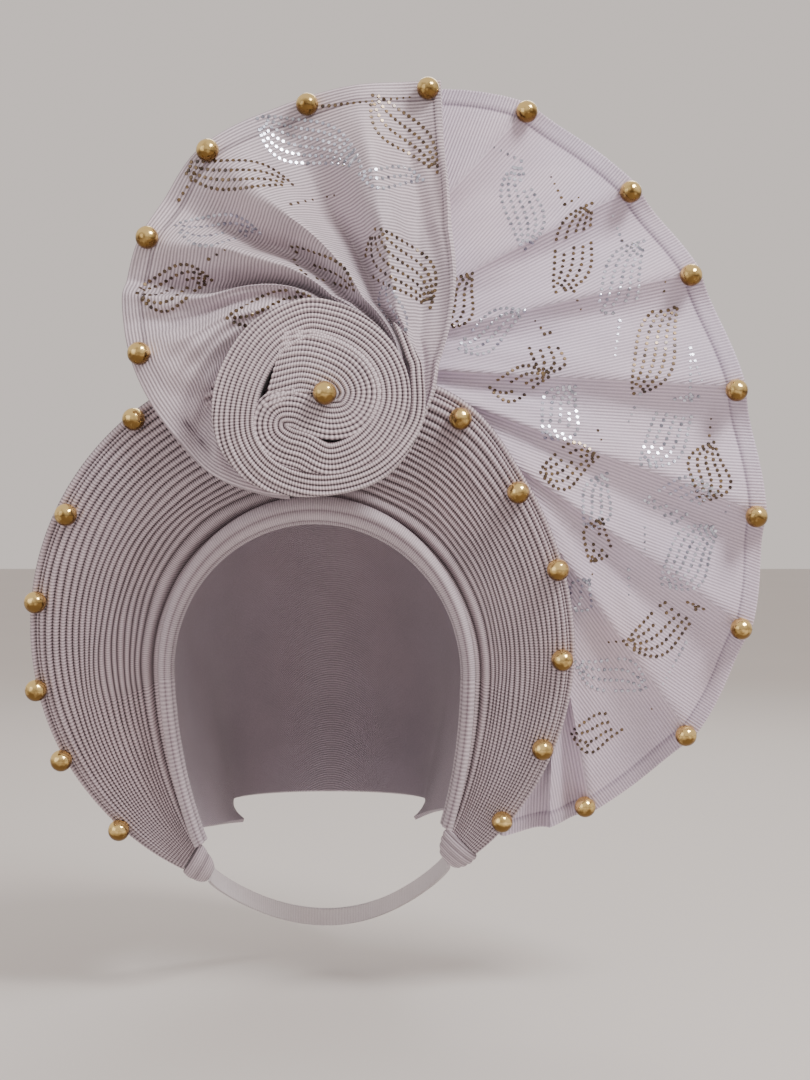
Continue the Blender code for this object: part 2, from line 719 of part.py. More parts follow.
def nape_strap(left_tip, right_tip):
    """Flat strap from binding to binding behind the neck."""
    lower = []
    upper = []
    clear = BINDING_SECTION[-1][2] * BINDING_THICK / 2 + SEAT_GAP
    for j in range(STRAP_STEPS + 1):
        share = j / STRAP_STEPS
        swing = math.sin(math.pi * share)
        point = left_tip.lerp(right_tip, share)
        point.y += clear + STRAP_BACK_REACH * swing**STRAP_ROUNDNESS
        point.z -= STRAP_DIP * swing**STRAP_ROUNDNESS
        upper.append(point + Vector((0, 0, STRAP_HEIGHT / 2)))
        lower.append(point - Vector((0, 0, STRAP_HEIGHT / 2)))
    return sheet_solid("nape_strap", [lower, upper], STRAP_WALL, LILAC_SHADE)


def surface_plane(tree, across, height):
    """Plane that lies on a sheet's crests round a bead: its point and the way it faces."""
    hits = []
    rings = 4
    start = -(LEAN_TOP_FORWARD + ROSETTE_THICK) * 3
    for ring in range(rings + 1):
        radius = BEAD_RADIUS * ring / rings
        for k in range(12 if ring else 1):
            angle = math.radians(30.0 * k)
            origin = Vector((across + radius * math.sin(angle), start, height + radius * math.cos(angle)))
            place = tree.ray_cast(origin, Vector((0, 1, 0)))[0]
            if place is not None:
                hits.append(place)
    middle = sum(hits, Vector()) / len(hits)
    flat = [(hit.x - middle.x, hit.z - middle.z, hit.y - middle.y) for hit in hits]
    xx = sum(x * x for x, z, y in flat) + 1e-12
    zz = sum(z * z for x, z, y in flat) + 1e-12
    xz = sum(x * z for x, z, y in flat)
    xy = sum(x * y for x, z, y in flat)
    zy = sum(z * y for x, z, y in flat)
    spread = xx * zz - xz * xz
    slope_x = (xy * zz - zy * xz) / spread
    slope_z = (zy * xx - xy * xz) / spread
    facing = Vector((slope_x, -1.0, slope_z)).normalized()
    crest = max((hit - middle).dot(facing) for hit in hits)
    foot = Vector((across, middle.y + slope_x * (across - middle.x) + slope_z * (height - middle.z), height))
    return foot + facing * crest, facing


def bead(name, carrier_tree, across, height):
    """Round bead with a small flat where it is sewn down, standing on the cloth."""
    foot, facing = surface_plane(carrier_tree, across, height)
    base = BEAD_RADIUS * math.sin(math.radians(BEAD_RINGS_DEG[0]))
    centre = foot + facing * (SEAT_GAP - base)
    turn = Vector((0, 0, 1)).rotation_difference(facing).to_matrix()
    bm = bmesh.new()
    rings = []
    for degrees in BEAD_RINGS_DEG:
        level = BEAD_RADIUS * math.sin(math.radians(degrees))
        radius = BEAD_RADIUS * math.cos(math.radians(degrees))
        ring = []
        for k in range(BEAD_SIDES):
            angle = 2 * math.pi * k / BEAD_SIDES
            spot = Vector((radius * math.cos(angle), radius * math.sin(angle), level))
            ring.append(bm.verts.new(centre + turn @ spot))
        rings.append(ring)
    pole = bm.verts.new(centre + facing * BEAD_RADIUS)
    for low, high in zip(rings, rings[1:]):
        for k in range(BEAD_SIDES):
            following = (k + 1) % BEAD_SIDES
            bm.faces.new((low[k], low[following], high[following], high[k]))
    for k in range(BEAD_SIDES):
        bm.faces.new((rings[-1][k], rings[-1][(k + 1) % BEAD_SIDES], pole))
    bm.faces.new(rings[0][::-1])
    bmesh.ops.recalc_face_normals(bm, faces=bm.faces)
    return finish_object(name, bm, GOLD)


def inset_share(point_at):
    """Share along a fold line at which a bead stands in from the edge."""
    edge = point_at(1.0)
    share = 1.0
    while share > 0.5 and (point_at(share) - edge).length < BEAD_EDGE_INSET:
        share -= 0.005
    return share


def beads(halo, left, right, wound):
    """All the beads: round the halo, along both fans and in the rosette."""
    halo_tree = tree_of([halo])
    left_tree = tree_of([left])
    right_tree = tree_of([right])
    for side, places in (("left", HALO_BEADS_LEFT), ("right", HALO_BEADS_RIGHT)):
        for number, (degrees, inset) in enumerate(places, 1):
            turn = (degrees - HALO_FROM_DEG) / (HALO_TO_DEG - HALO_FROM_DEG)
            across, height = halo_edge_point(turn, inset * BEAD_RADIUS)
            bead(f"bead_halo_{side}_{number}", halo_tree, across, height)
    for number, fold in enumerate(FAN_LEFT_BEAD_FOLDS, 1):
        place = fan_left_point(fold, inset_share(lambda out: fan_left_point(fold, out)))
        bead(f"bead_fan_left_{number}", left_tree, place.x, place.z)
    for number, crease in enumerate(FAN_RIGHT_BEAD_CREASES, 1):
        place = fan_right_point(crease, inset_share(lambda out: fan_right_point(crease, out, 0.0)), 0.0)
        bead(f"bead_fan_right_{number}", right_tree, place.x, place.z)
    across = ROSETTE_ACROSS + ROSETTE_BEAD_ACROSS * ROSETTE_HALF_WIDTH
    height = ROSETTE_HEIGHT + ROSETTE_BEAD_UP * ROSETTE_HALF_HEIGHT
    bead("bead_rosette", tree_of([wound]), across, height)


def main():
    """Clear the scene and build the head tie."""
    for old in list(bpy.data.objects):
        bpy.data.objects.remove(old)
    backwards = Vector((0, 1, 0))
    head_cap()
    face_band()
    halo = halo_pleats()
    back_wrap()
    right = fan_right()
    seat(right, [halo], -backwards, SEAT_GAP)
    left = fan_left()
    seat(left, [halo], backwards, SEAT_GAP)
    wound = rosette()
    seat(wound, [left], backwards, SEAT_GAP)
    left_tip = binding("binding_left", 0.0, -1.0)[1]
    right_tip = binding("binding_right", 1.0, 1.0)[1]
    nape_strap(left_tip, right_tip)
    beads(halo, left, right, wound)


main()
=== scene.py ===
"""Looks of a tied gele head tie: pleated cloth, wound rosette, two fans, beads and stones.

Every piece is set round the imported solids, in metres, +Z up, with the front facing -Y.
"""
import logging
import math
from dataclasses import dataclass, field
from enum import Enum

import bmesh
import bpy
import numpy as np
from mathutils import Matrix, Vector
from mathutils.bvhtree import BVHTree


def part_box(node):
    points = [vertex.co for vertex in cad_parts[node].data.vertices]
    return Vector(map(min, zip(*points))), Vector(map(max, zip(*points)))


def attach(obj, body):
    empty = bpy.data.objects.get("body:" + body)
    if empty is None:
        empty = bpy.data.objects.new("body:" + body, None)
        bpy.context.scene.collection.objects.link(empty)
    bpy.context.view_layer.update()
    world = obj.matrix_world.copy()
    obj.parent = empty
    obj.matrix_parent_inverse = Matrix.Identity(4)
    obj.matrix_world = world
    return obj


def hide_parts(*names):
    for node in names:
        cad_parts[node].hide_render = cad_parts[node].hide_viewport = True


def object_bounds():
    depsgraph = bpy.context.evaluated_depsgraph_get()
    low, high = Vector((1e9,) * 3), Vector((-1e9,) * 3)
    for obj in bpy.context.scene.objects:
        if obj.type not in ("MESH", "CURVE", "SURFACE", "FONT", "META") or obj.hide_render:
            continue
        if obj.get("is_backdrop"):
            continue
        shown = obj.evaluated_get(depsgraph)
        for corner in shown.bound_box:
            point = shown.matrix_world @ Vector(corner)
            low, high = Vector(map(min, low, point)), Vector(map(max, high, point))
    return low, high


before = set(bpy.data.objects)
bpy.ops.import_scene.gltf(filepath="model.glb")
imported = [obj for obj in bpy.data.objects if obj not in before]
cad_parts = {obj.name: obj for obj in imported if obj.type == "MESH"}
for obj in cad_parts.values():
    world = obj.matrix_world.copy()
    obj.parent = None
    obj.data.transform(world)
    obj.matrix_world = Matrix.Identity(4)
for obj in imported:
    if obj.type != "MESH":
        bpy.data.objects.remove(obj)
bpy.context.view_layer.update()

LOG = logging.getLogger("head_tie")
BODY = "root"
UV_NAME = "cloth"
MILLIMETRE = 1e-3
EYE = (0.040, -0.810, -0.050)
SHEET_SHARP_DEG = 75.0
TUBE_SHARP_DEG = 60.0
BEAD_SEGMENTS = 28
BEAD_RINGS = 18
STONE_SIDES = 8
STONE_TABLE = 0.74
STONE_DEPTH = 0.55
MIX_LOW, MIX_HIGH, MIX_RESULT = 6, 7, 2


class StoneKind(Enum):
    """Colour of a motif's stones."""

    CLEAR = "clear_stone"
    TOPAZ = "topaz_stone"


class SmallShape(Enum):
    """Small shape that is set on points."""

    BEAD = "bead"
    STONE = "stone"


class Hold(Enum):
    """How a cloth piece is held."""

    FOLDED = "folded"
    GATHERED = "gathered"
    STRETCHED = "stretched"


def smooth_rows(table: np.ndarray, position: np.ndarray) -> np.ndarray:
    """Read a table between its rows, on a smooth curve through them.

    Args:
        table: One row of values for each section.
        position: Row positions, counted from 0.

    Returns:
        One row of values for each position.
    """
    last = len(table) - 1
    position = np.clip(np.asarray(position, float), 0.0, last)
    index = np.minimum(position.astype(int), last - 1)
    near = [table[np.clip(index + step, 0, last)] for step in (-1, 0, 1, 2)]
    return smooth_step((position - index)[..., None], *near)


def smooth_columns(table: np.ndarray, position: np.ndarray) -> np.ndarray:
    """Read each column of a table at that column's own positions.

    Args:
        table: One row of values for each section.
        position: Row positions, with a column for each of the table's.

    Returns:
        One value for each position.
    """
    last = len(table) - 1
    index = np.minimum(position.astype(int), last - 1)
    near = [np.take_along_axis(table, np.clip(index + step, 0, last), axis=0) for step in (-1, 0, 1, 2)]
    return smooth_step(position - index, *near)


def smooth_step(t: np.ndarray, before: np.ndarray, here: np.ndarray, after: np.ndarray,
                beyond: np.ndarray) -> np.ndarray:
    """Value at a share between two rows, with the slopes that their neighbours give.

    Args:
        t: Share of the way from the first row to the second.
        before: Values of the row before them.
        here: Values of the first row.
        after: Values of the second row.
        beyond: Values of the row after them.

    Returns:
        The values at the share.
    """
    slope_in = 0.5 * (after - before)
    slope_out = 0.5 * (beyond - here)
    return ((2 * t**3 - 3 * t**2 + 1) * here + (t**3 - 2 * t**2 + t) * slope_in
            + (3 * t**2 - 2 * t**3) * after + (t**3 - t**2) * slope_out)


def smooth_at(table: np.ndarray, key: np.ndarray) -> np.ndarray:
    """Read a table's second column at values of its first.

    Args:
        table: Rows of a key and a value, with rising keys.
        key: Keys to read at.

    Returns:
        The values at the keys.
    """
    keys = table[:, 0]
    key = np.asarray(key, float)
    index = np.clip(np.searchsorted(keys, key, side="right") - 1, 0, len(keys) - 2)
    share = np.clip((key - keys[index]) / (keys[index + 1] - keys[index]), 0.0, 1.0)
    return smooth_rows(table, index + share)[..., 1]


def stack(across: np.ndarray, depth: np.ndarray, height: np.ndarray) -> np.ndarray:
    """Join three coordinate arrays into one grid of points."""
    return np.stack(np.broadcast_arrays(across, depth, height), axis=-1).astype(float)


def grid_normals(grid: np.ndarray) -> np.ndarray:
    """Unit normals of a grid whose rows run outwards and whose columns run clockwise."""
    normals = np.cross(np.gradient(grid, axis=1), np.gradient(grid, axis=0))
    return normals / np.maximum(np.linalg.norm(normals, axis=-1, keepdims=True), 1e-12)


def travel_along(points: np.ndarray) -> np.ndarray:
    """Distance of each row of points from the first row, measured from row to row."""
    steps = np.linalg.norm(np.diff(points, axis=0), axis=-1)
    return np.concatenate([np.zeros_like(steps[:1]), np.cumsum(steps, axis=0)])


def slow_waves(waves: tuple[tuple[float, float, float, float], ...], along: np.ndarray,
               across: np.ndarray) -> np.ndarray:
    """Sum of slow waves over a sheet.

    Args:
        waves: Strength, count along, count across and phase of each wave.
        along: Position along the sheet.
        across: Position across the sheet.

    Returns:
        The waves' height at each point.
    """
    return sum(strength * np.sin(2 * math.pi * (ahead * along + beside * across + phase))
               for strength, ahead, beside, phase in waves)


@dataclass(frozen=True)
class FaceForm:
    """Sizes of the face oval, the leaning face plane and the halo's rim, which all pieces follow."""

    half_width: float = 0.066
    centre_drop: float = 0.113
    top_rise: float = 0.071
    lower_reach: float = 0.142
    from_deg: float = 56.0
    to_deg: float = 300.0
    lean_top: float = 0.032
    lean_bottom: float = 0.200
    forward_top: float = 0.082
    forward_bottom: float = 0.016
    lean_curve: float = 1.6
    lean_above: float = 0.15
    halo_radius: float = 0.123
    halo_across: float = -0.0067
    halo_drop: float = 0.0885
    halo_from_deg: float = 26.5
    halo_to_deg: float = 324.0
    halo_dish: float = 0.0050
    band_wall: float = 0.0011
    cap_wall: float = 0.0020
    halo_wall: float = 0.0014
    tuck_gap: float = 0.0006
    seat_gap: float = 0.0003
    full_width: float = 0.0612
    edge: np.ndarray = field(default_factory=lambda: np.array([
        # angle in degrees, reach share of the halo's radius
        (26.0, 1.080),
        (60.0, 1.035),
        (90.0, 0.990),
        (125.0, 0.967),
        (165.0, 0.971),
        (205.0, 0.985),
        (218.0, 1.000),
        (236.0, 0.970),
        (255.0, 0.976),
        (275.0, 1.008),
        (300.0, 1.060),
        (327.0, 1.117),
    ]))
    dish: np.ndarray = field(default_factory=lambda: np.array([
        # across share, forward share
        (0.00, -0.90),
        (0.12, -1.00),
        (0.30, -0.55),
        (0.60, 0.35),
        (0.85, 0.80),
        (1.00, 0.35),
    ]))

    def lean(self, height: np.ndarray) -> np.ndarray:
        """Depth of the leaning face plane at a height.

        Args:
            height: Heights, in metres.

        Returns:
            A depth for each height; less is further forward.
        """
        fall = np.clip((self.lean_top - height) / (self.lean_top + self.lean_bottom), 0.0, None)
        below = -self.forward_top + (self.forward_top - self.forward_bottom) * fall**self.lean_curve
        above = -self.forward_top + self.lean_above * (height - self.lean_top)
        return np.where(height > self.lean_top, above, below)

    def face_angle(self, turn: np.ndarray) -> np.ndarray:
        """Angle round the face oval, clockwise from straight down, in radians."""
        return np.radians(self.from_deg + (self.to_deg - self.from_deg) * turn)

    def oval(self, turn: np.ndarray, outwards: np.ndarray) -> tuple[np.ndarray, np.ndarray]:
        """Across and height of points outside the face oval.

        Args:
            turn: Turns round the face, from 0 at the left end to 1 at the right end.
            outwards: How far outside the oval the points lie.

        Returns:
            Across and height of each point.
        """
        angle = self.face_angle(turn)
        reach = np.where(np.cos(angle) < 0, self.top_rise, self.lower_reach)
        across = -(self.half_width + outwards) * np.sin(angle)
        return across, -self.centre_drop - (reach + outwards) * np.cos(angle)

    def rim(self, turn: np.ndarray, inset: float) -> tuple[np.ndarray, np.ndarray]:
        """Across and height of the halo's outer edge, moved in by an inset.

        Args:
            turn: Turns round the face.
            inset: How far inside the edge the points lie.

        Returns:
            Across and height of each point.
        """
        degrees = self.halo_from_deg + (self.halo_to_deg - self.halo_from_deg) * turn
        reach = self.halo_radius * smooth_at(self.edge, degrees) - inset
        angle = np.radians(degrees)
        return self.halo_across - reach * np.sin(angle), -self.halo_drop - reach * np.cos(angle)

    def cap_outwards(self) -> float:
        """How far outside the face oval the cap's outer side lies at its rim."""
        return self.band_wall + self.tuck_gap + self.cap_wall

    def halo_width(self, turn: np.ndarray) -> np.ndarray:
        """Width of the halo from its inner edge to its rim.

        Args:
            turn: Turns round the face.

        Returns:
            A width for each turn.
        """
        inner_x, inner_z = self.oval(turn, self.cap_outwards() + self.tuck_gap)
        outer_x, outer_z = self.rim(turn, 0.0)
        return np.hypot(outer_x - inner_x, outer_z - inner_z)

    def halo(self, turn: np.ndarray, share: np.ndarray) -> np.ndarray:
        """Points of the halo's cloth without its pleats.

        Args:
            turn: Turns round the face.
            share: Shares of the way from the face band to the rim.

        Returns:
            A grid of points.
        """
        inner_x, inner_z = self.oval(turn, self.cap_outwards() + self.tuck_gap)
        outer_x, outer_z = self.rim(turn, 0.0)
        across = inner_x + (outer_x - inner_x) * share
        height = inner_z + (outer_z - inner_z) * share
        fade = np.minimum(1.0, self.halo_width(turn) / self.full_width)
        forward = self.halo_dish * smooth_at(self.dish, share) * fade
        return stack(across, self.lean(height) - forward, height)


FORM = FaceForm()


class Nodes:
    """A node tree that is filled by short calls."""

    def __init__(self, tree: bpy.types.NodeTree) -> None:
        """Keep the tree that the calls fill."""
        self.tree = tree

    def add(self, kind: str, **values: object) -> bpy.types.Node:
        """Add a node.

        Args:
            kind: The node's type name.
            values: Properties of the node, set by name.

        Returns:
            The new node.
        """
        node = self.tree.nodes.new(kind)
        for name, value in values.items():
            setattr(node, name, value)
        return node

    def feed(self, node: bpy.types.Node, place: int | str, value: object) -> None:
        """Set an input to a number or colour, or link an output to it.

        Args:
            node: The node that has the input.
            place: The input's name or number.
            value: What goes into it.
        """
        if isinstance(value, bpy.types.NodeSocket):
            self.tree.links.new(value, node.inputs[place])
        else:
            node.inputs[place].default_value = value

    def math(self, operation: str, *values: object) -> bpy.types.NodeSocket:
        """Add a math node.

        Args:
            operation: What the node does.
            values: Its inputs, in their order.

        Returns:
            Its result.
        """
        node = self.add("ShaderNodeMath", operation=operation)
        for place, value in enumerate(values):
            self.feed(node, place, value)
        return node.outputs[0]

    def mix(self, share: object, low: object, high: object) -> bpy.types.NodeSocket:
        """Add a colour mix.

        Args:
            share: Share of the second colour.
            low: The first colour.
            high: The second colour.

        Returns:
            The mixed colour.
        """
        node = self.add("ShaderNodeMix", data_type="RGBA")
        self.feed(node, 0, share)
        self.feed(node, MIX_LOW, low)
        self.feed(node, MIX_HIGH, high)
        return node.outputs[MIX_RESULT]

    def noise(self, scale: float, detail: float) -> bpy.types.NodeSocket:
        """Add a noise that reads object coordinates.

        Args:
            scale: How fine the noise is.
            detail: How many finer layers it has.

        Returns:
            Its value.
        """
        noise = self.add("ShaderNodeTexNoise")
        self.feed(noise, "Vector", self.add("ShaderNodeTexCoord").outputs["Object"])
        self.feed(noise, "Scale", scale)
        self.feed(noise, "Detail", detail)
        return noise.outputs[0]

    def wave(self, count: object) -> bpy.types.NodeSocket:
        """Rise from 0 to 1 and fall back once for each whole count."""
        turns = self.math("MULTIPLY", count, 2 * math.pi)
        return self.math("MULTIPLY_ADD", self.math("COSINE", turns), -0.5, 0.5)

    def bump(self, shader: bpy.types.Node, strength: float, distance: float, height: object) -> None:
        """Roughen a shader's surface.

        Args:
            shader: The shader.
            strength: How strongly the height shows.
            distance: Height of a full rise, in metres.
            height: The height as a share of that.
        """
        bump = self.add("ShaderNodeBump")
        self.feed(bump, "Strength", strength)
        self.feed(bump, "Distance", distance)
        self.feed(bump, "Height", height)
        self.feed(shader, "Normal", bump.outputs[0])

    def attribute(self, label: str, kind: str) -> bpy.types.NodeSocket:
        """Read an attribute of the points in a geometry tree.

        Args:
            label: The attribute's name.
            kind: Its data type.

        Returns:
            Its value.
        """
        node = self.add("GeometryNodeInputNamedAttribute", data_type=kind)
        self.feed(node, "Name", label)
        return next(socket for socket in node.outputs if socket.enabled and socket.name == "Attribute")


def new_material(name: str) -> tuple[bpy.types.Material, Nodes, bpy.types.Node]:
    """Start a material.

    Args:
        name: The material's name.

    Returns:
        The material, its nodes and its Principled shader.
    """
    made = bpy.data.materials.new(name)
    made.use_nodes = True
    return made, Nodes(made.node_tree), made.node_tree.nodes["Principled BSDF"]


@dataclass(frozen=True)
class RibbedCloth:
    """Ribbed satin cloth: colours, how strong its ribs and the painted shade in its rib grooves and fold
    valleys show, and how it shines.
    """

    name: str
    light: tuple[float, float, float]
    shade: tuple[float, float, float]
    tint: tuple[float, float, float]
    rib_groove_shade: float = 0.35
    rib_bump: float = 0.55
    valley_shade: float = 0.0
    roughness: float = 0.52
    sheen: float = 0.25
    sheen_spread: float = 0.45
    specular: float = 0.42
    valley_width: float = 0.45
    thread_scale: float = 1400.0
    tint_scale: float = 14.0
    wear_scale: float = 45.0
    thread_bump: float = 0.25
    bump_strength: float = 0.6
    bump_height: float = 0.0004

    def build(self) -> bpy.types.Material:
        """Make the material: ribs, and painted shade in the rib grooves and fold valleys, from the UV map;
        threads and tints from noise.

        Returns:
            The material.
        """
        made, nodes, shader = new_material(self.name)
        uv = nodes.add("ShaderNodeUVMap", uv_map=UV_NAME)
        split = nodes.add("ShaderNodeSeparateXYZ")
        nodes.feed(split, 0, uv.outputs[0])
        rib = nodes.wave(split.outputs[0])
        # painted shade in the fold valleys: the colour darkens where the fold count nears a whole number
        fold = nodes.math("ABSOLUTE", nodes.math("SINE", nodes.math("MULTIPLY", split.outputs[1], math.pi)))
        open_fold = nodes.math("POWER", fold, self.valley_width)
        thread = nodes.noise(self.thread_scale, 2.0)
        broad = nodes.noise(self.tint_scale, 3.0)
        patch = nodes.noise(self.wear_scale, 2.0)
        tinting = nodes.math("MULTIPLY_ADD", broad, 1.6, -0.4)
        tinted = nodes.mix(tinting, (*self.light, 1.0), (*self.tint, 1.0))
        # painted shade: the colour darkens in the grooves between the ribs
        depth = nodes.math("MULTIPLY", nodes.math("SUBTRACT", 1.0, rib), self.rib_groove_shade)
        valley = nodes.math("MULTIPLY", nodes.math("SUBTRACT", 1.0, open_fold), self.valley_shade)
        wear = nodes.math("MULTIPLY_ADD", patch, 0.22, -0.08)
        flecks = nodes.math("MULTIPLY_ADD", thread, 0.30, -0.13)
        # the shade colour is what the painted shade and the random wear and flecks darken towards
        darkness = nodes.math("ADD", nodes.math("ADD", depth, valley), nodes.math("ADD", wear, flecks))
        clamped = nodes.math("MAXIMUM", nodes.math("MINIMUM", darkness, 1.0), 0.0)
        nodes.feed(shader, "Base Color", nodes.mix(clamped, tinted, (*self.shade, 1.0)))
        height = nodes.math("ADD", nodes.math("MULTIPLY", rib, self.rib_bump),
                            nodes.math("MULTIPLY", thread, self.thread_bump))
        nodes.bump(shader, self.bump_strength, self.bump_height, height)
        rough = nodes.math("MULTIPLY_ADD", thread, 0.20, self.roughness - 0.10)
        nodes.feed(shader, "Roughness", rough)
        nodes.feed(shader, "Sheen Weight", self.sheen)
        nodes.feed(shader, "Sheen Roughness", self.sheen_spread)
        nodes.feed(shader, "Specular IOR Level", self.specular)
        return made


@dataclass(frozen=True)
class PolishedGold:
    """Polished gold of the beads, with painted shade on their lower halves, painted dark reflections in
    cloudy patches, and small hammer marks.
    """

    name: str = "polished_gold"
    colour: tuple[float, float, float] = (0.95, 0.70, 0.28)
    # dark: colour of the painted shade and painted reflections
    dark: tuple[float, float, float] = (0.135, 0.062, 0.012)
    roughness: float = 0.13
    scuff_scale: float = 420.0
    marks: float = 0.55
    mark_scale: float = 300.0
    mark_height: float = 0.0006
    most_dark: float = 0.92

    def build(self) -> bpy.types.Material:
        """Make the material.

        Returns:
            The material.
        """
        made, nodes, shader = new_material(self.name)
        scuff = nodes.noise(self.scuff_scale, 4.0)
        cloud = nodes.noise(self.mark_scale, 2.0)
        # painted shade and painted reflection: the colour darkens where the surface faces down and in cloudy
        # patches
        upright = nodes.add("ShaderNodeAttribute", attribute_name="upright")
        low = nodes.math("MULTIPLY_ADD", upright.outputs["Fac"], -1.25, 0.24)
        patchy = nodes.math("ADD", low, nodes.math("MULTIPLY_ADD", cloud, 2.2, -0.90))
        shade_and_reflection = nodes.math("MAXIMUM", nodes.math("MINIMUM", patchy, self.most_dark), 0.0)
        nodes.feed(shader, "Base Color", nodes.mix(shade_and_reflection, (*self.colour, 1.0), (*self.dark, 1.0)))
        nodes.feed(shader, "Metallic", 1.0)
        nodes.feed(shader, "Roughness", nodes.math("MULTIPLY_ADD", scuff, 0.16, self.roughness - 0.07))
        nodes.bump(shader, self.marks, self.mark_height, cloud)
        return made


@dataclass(frozen=True)
class CutStone:
    """Foiled cut stone, clear or topaz, with a colour that shifts from stone to stone."""

    name: str
    colour: tuple[float, float, float]
    flash: tuple[float, float, float]
    metallic: float
    shift_scale: float = 330.0
    roughness: float = 0.15
    coat: float = 0.3
    coat_roughness: float = 0.04

    def build(self) -> bpy.types.Material:
        """Make the material.

        Returns:
            The material.
        """
        made, nodes, shader = new_material(self.name)
        shift = nodes.noise(self.shift_scale, 1.0)
        nodes.feed(shader, "Base Color", nodes.mix(nodes.math("MULTIPLY_ADD", shift, 2.2, -0.7),
                                                   (*self.colour, 1.0), (*self.flash, 1.0)))
        nodes.feed(shader, "Metallic", self.metallic)
        nodes.feed(shader, "Roughness", nodes.math("MULTIPLY_ADD", shift, 0.12, self.roughness))
        nodes.feed(shader, "Coat Weight", self.coat)
        nodes.feed(shader, "Coat Roughness", self.coat_roughness)
        return made


@dataclass(frozen=True)
class MattePaint:
    """Matte pale paint of the floor."""

    name: str = "pale_floor"
    colour: tuple[float, float, float] = (0.68, 0.64, 0.61)
    darker: float = 0.94
    cloud_scale: float = 1.6
    roughness: float = 0.85
    specular: float = 0.46

    def build(self) -> bpy.types.Material:
        """Make the material.

        Returns:
            The material.
        """
        made, nodes, shader = new_material(self.name)
        cloud = nodes.noise(self.cloud_scale, 3.0)
        darker = tuple(self.darker * part for part in self.colour)
        nodes.feed(shader, "Base Color", nodes.mix(cloud, (*self.colour, 1.0), (*darker, 1.0)))
        nodes.feed(shader, "Roughness", self.roughness)
        nodes.feed(shader, "Specular IOR Level", self.specular)
        return made


# Each cloth: its own colour, the dark colour of its painted shade and random wear, and a random tint
HALO_CLOTH = RibbedCloth("halo_cloth", (0.74, 0.60, 0.65), (0.060, 0.036, 0.048), (0.68, 0.59, 0.66),
                         rib_groove_shade=0.56, rib_bump=0.3, valley_shade=0.85)
BAND_CLOTH = RibbedCloth("band_cloth", (0.66, 0.56, 0.61), (0.20, 0.15, 0.18), (0.62, 0.55, 0.62),
                         rib_groove_shade=0.48, rib_bump=0.8, valley_shade=0.85, roughness=0.60)
ROSETTE_CLOTH = RibbedCloth("rosette_cloth", (0.84, 0.71, 0.75), (0.085, 0.055, 0.070), (0.77, 0.68, 0.74),
                            rib_groove_shade=0.54, rib_bump=0.3, valley_shade=0.92)
LEFT_CLOTH = RibbedCloth("left_fan_cloth", (0.79, 0.66, 0.71), (0.09, 0.062, 0.080), (0.71, 0.63, 0.72),
                         rib_groove_shade=0.60, rib_bump=1.0, valley_shade=0.95)
RIGHT_CLOTH = RibbedCloth("right_fan_cloth", (0.78, 0.64, 0.73), (0.14, 0.10, 0.155), (0.68, 0.60, 0.76),
                          rib_groove_shade=0.42, rib_bump=0.9, valley_shade=0.80, roughness=0.46)
WRAP_CLOTH = RibbedCloth("wrap_cloth", (0.68, 0.57, 0.64), (0.14, 0.10, 0.13), (0.61, 0.54, 0.63),
                         rib_groove_shade=0.45, rib_bump=0.9)
CAP_CLOTH = RibbedCloth("cap_cloth", (0.56, 0.47, 0.53), (0.13, 0.10, 0.12), (0.51, 0.45, 0.53),
                        rib_groove_shade=0.40, rib_bump=0.9)
BINDING_CLOTH = RibbedCloth("binding_cloth", (0.66, 0.55, 0.60), (0.10, 0.07, 0.09), (0.60, 0.52, 0.59),
                            rib_groove_shade=0.48, rib_bump=0.9, valley_shade=0.45)
STRAP_CLOTH = RibbedCloth("strap_cloth", (0.72, 0.66, 0.68), (0.34, 0.30, 0.32), (0.67, 0.63, 0.67),
                          rib_groove_shade=0.20, rib_bump=0.5, valley_shade=0.30, roughness=0.70, sheen=0.1)
GOLD = PolishedGold()
STONES = {
    StoneKind.CLEAR: CutStone(StoneKind.CLEAR.value, (0.26, 0.27, 0.33), (0.85, 0.88, 1.0), 0.85),
    StoneKind.TOPAZ: CutStone(StoneKind.TOPAZ.value, (0.045, 0.032, 0.024), (0.24, 0.16, 0.08), 0.60),
}


def add_object(name: str, data: bpy.types.ID) -> bpy.types.Object:
    """Put a mesh, lamp or camera into the scene.

    Args:
        name: The object's name.
        data: The mesh, lamp or camera.

    Returns:
        The new object.
    """
    made = bpy.data.objects.new(name, data)
    bpy.context.scene.collection.objects.link(made)
    return made


def sheet_faces(fine: np.ndarray, coarse: np.ndarray, back_rows: list[int],
                back_columns: list[int]) -> tuple[np.ndarray, list[list[int]]]:
    """Faces of a closed wall between two grids of point numbers.

    Args:
        fine: Point numbers of the front grid.
        coarse: Point numbers of the back grid.
        back_rows: Row of the front at each row of the back.
        back_columns: Column of the front at each column of the back.

    Returns:
        The front's quads as an array, and every face with these first.
    """
    quads = np.stack([fine[:-1, :-1], fine[:-1, 1:], fine[1:, 1:], fine[1:, :-1]], axis=-1).reshape(-1, 4)
    behind = np.stack([coarse[:-1, :-1], coarse[1:, :-1], coarse[1:, 1:], coarse[:-1, 1:]], axis=-1)
    faces = quads.tolist() + behind.reshape(-1, 4).tolist()
    for k, (low, high) in enumerate(zip(back_columns, back_columns[1:])):
        faces.append([coarse[0, k], coarse[0, k + 1]] + fine[0, low:high + 1][::-1].tolist())
        faces.append(fine[-1, low:high + 1].tolist() + [coarse[-1, k + 1], coarse[-1, k]])
    for k, (low, high) in enumerate(zip(back_rows, back_rows[1:])):
        faces.append(fine[low:high + 1, 0].tolist() + [coarse[k + 1, 0], coarse[k, 0]])
        faces.append([coarse[k, -1], coarse[k + 1, -1]] + fine[low:high + 1, -1][::-1].tolist())
    return quads, faces


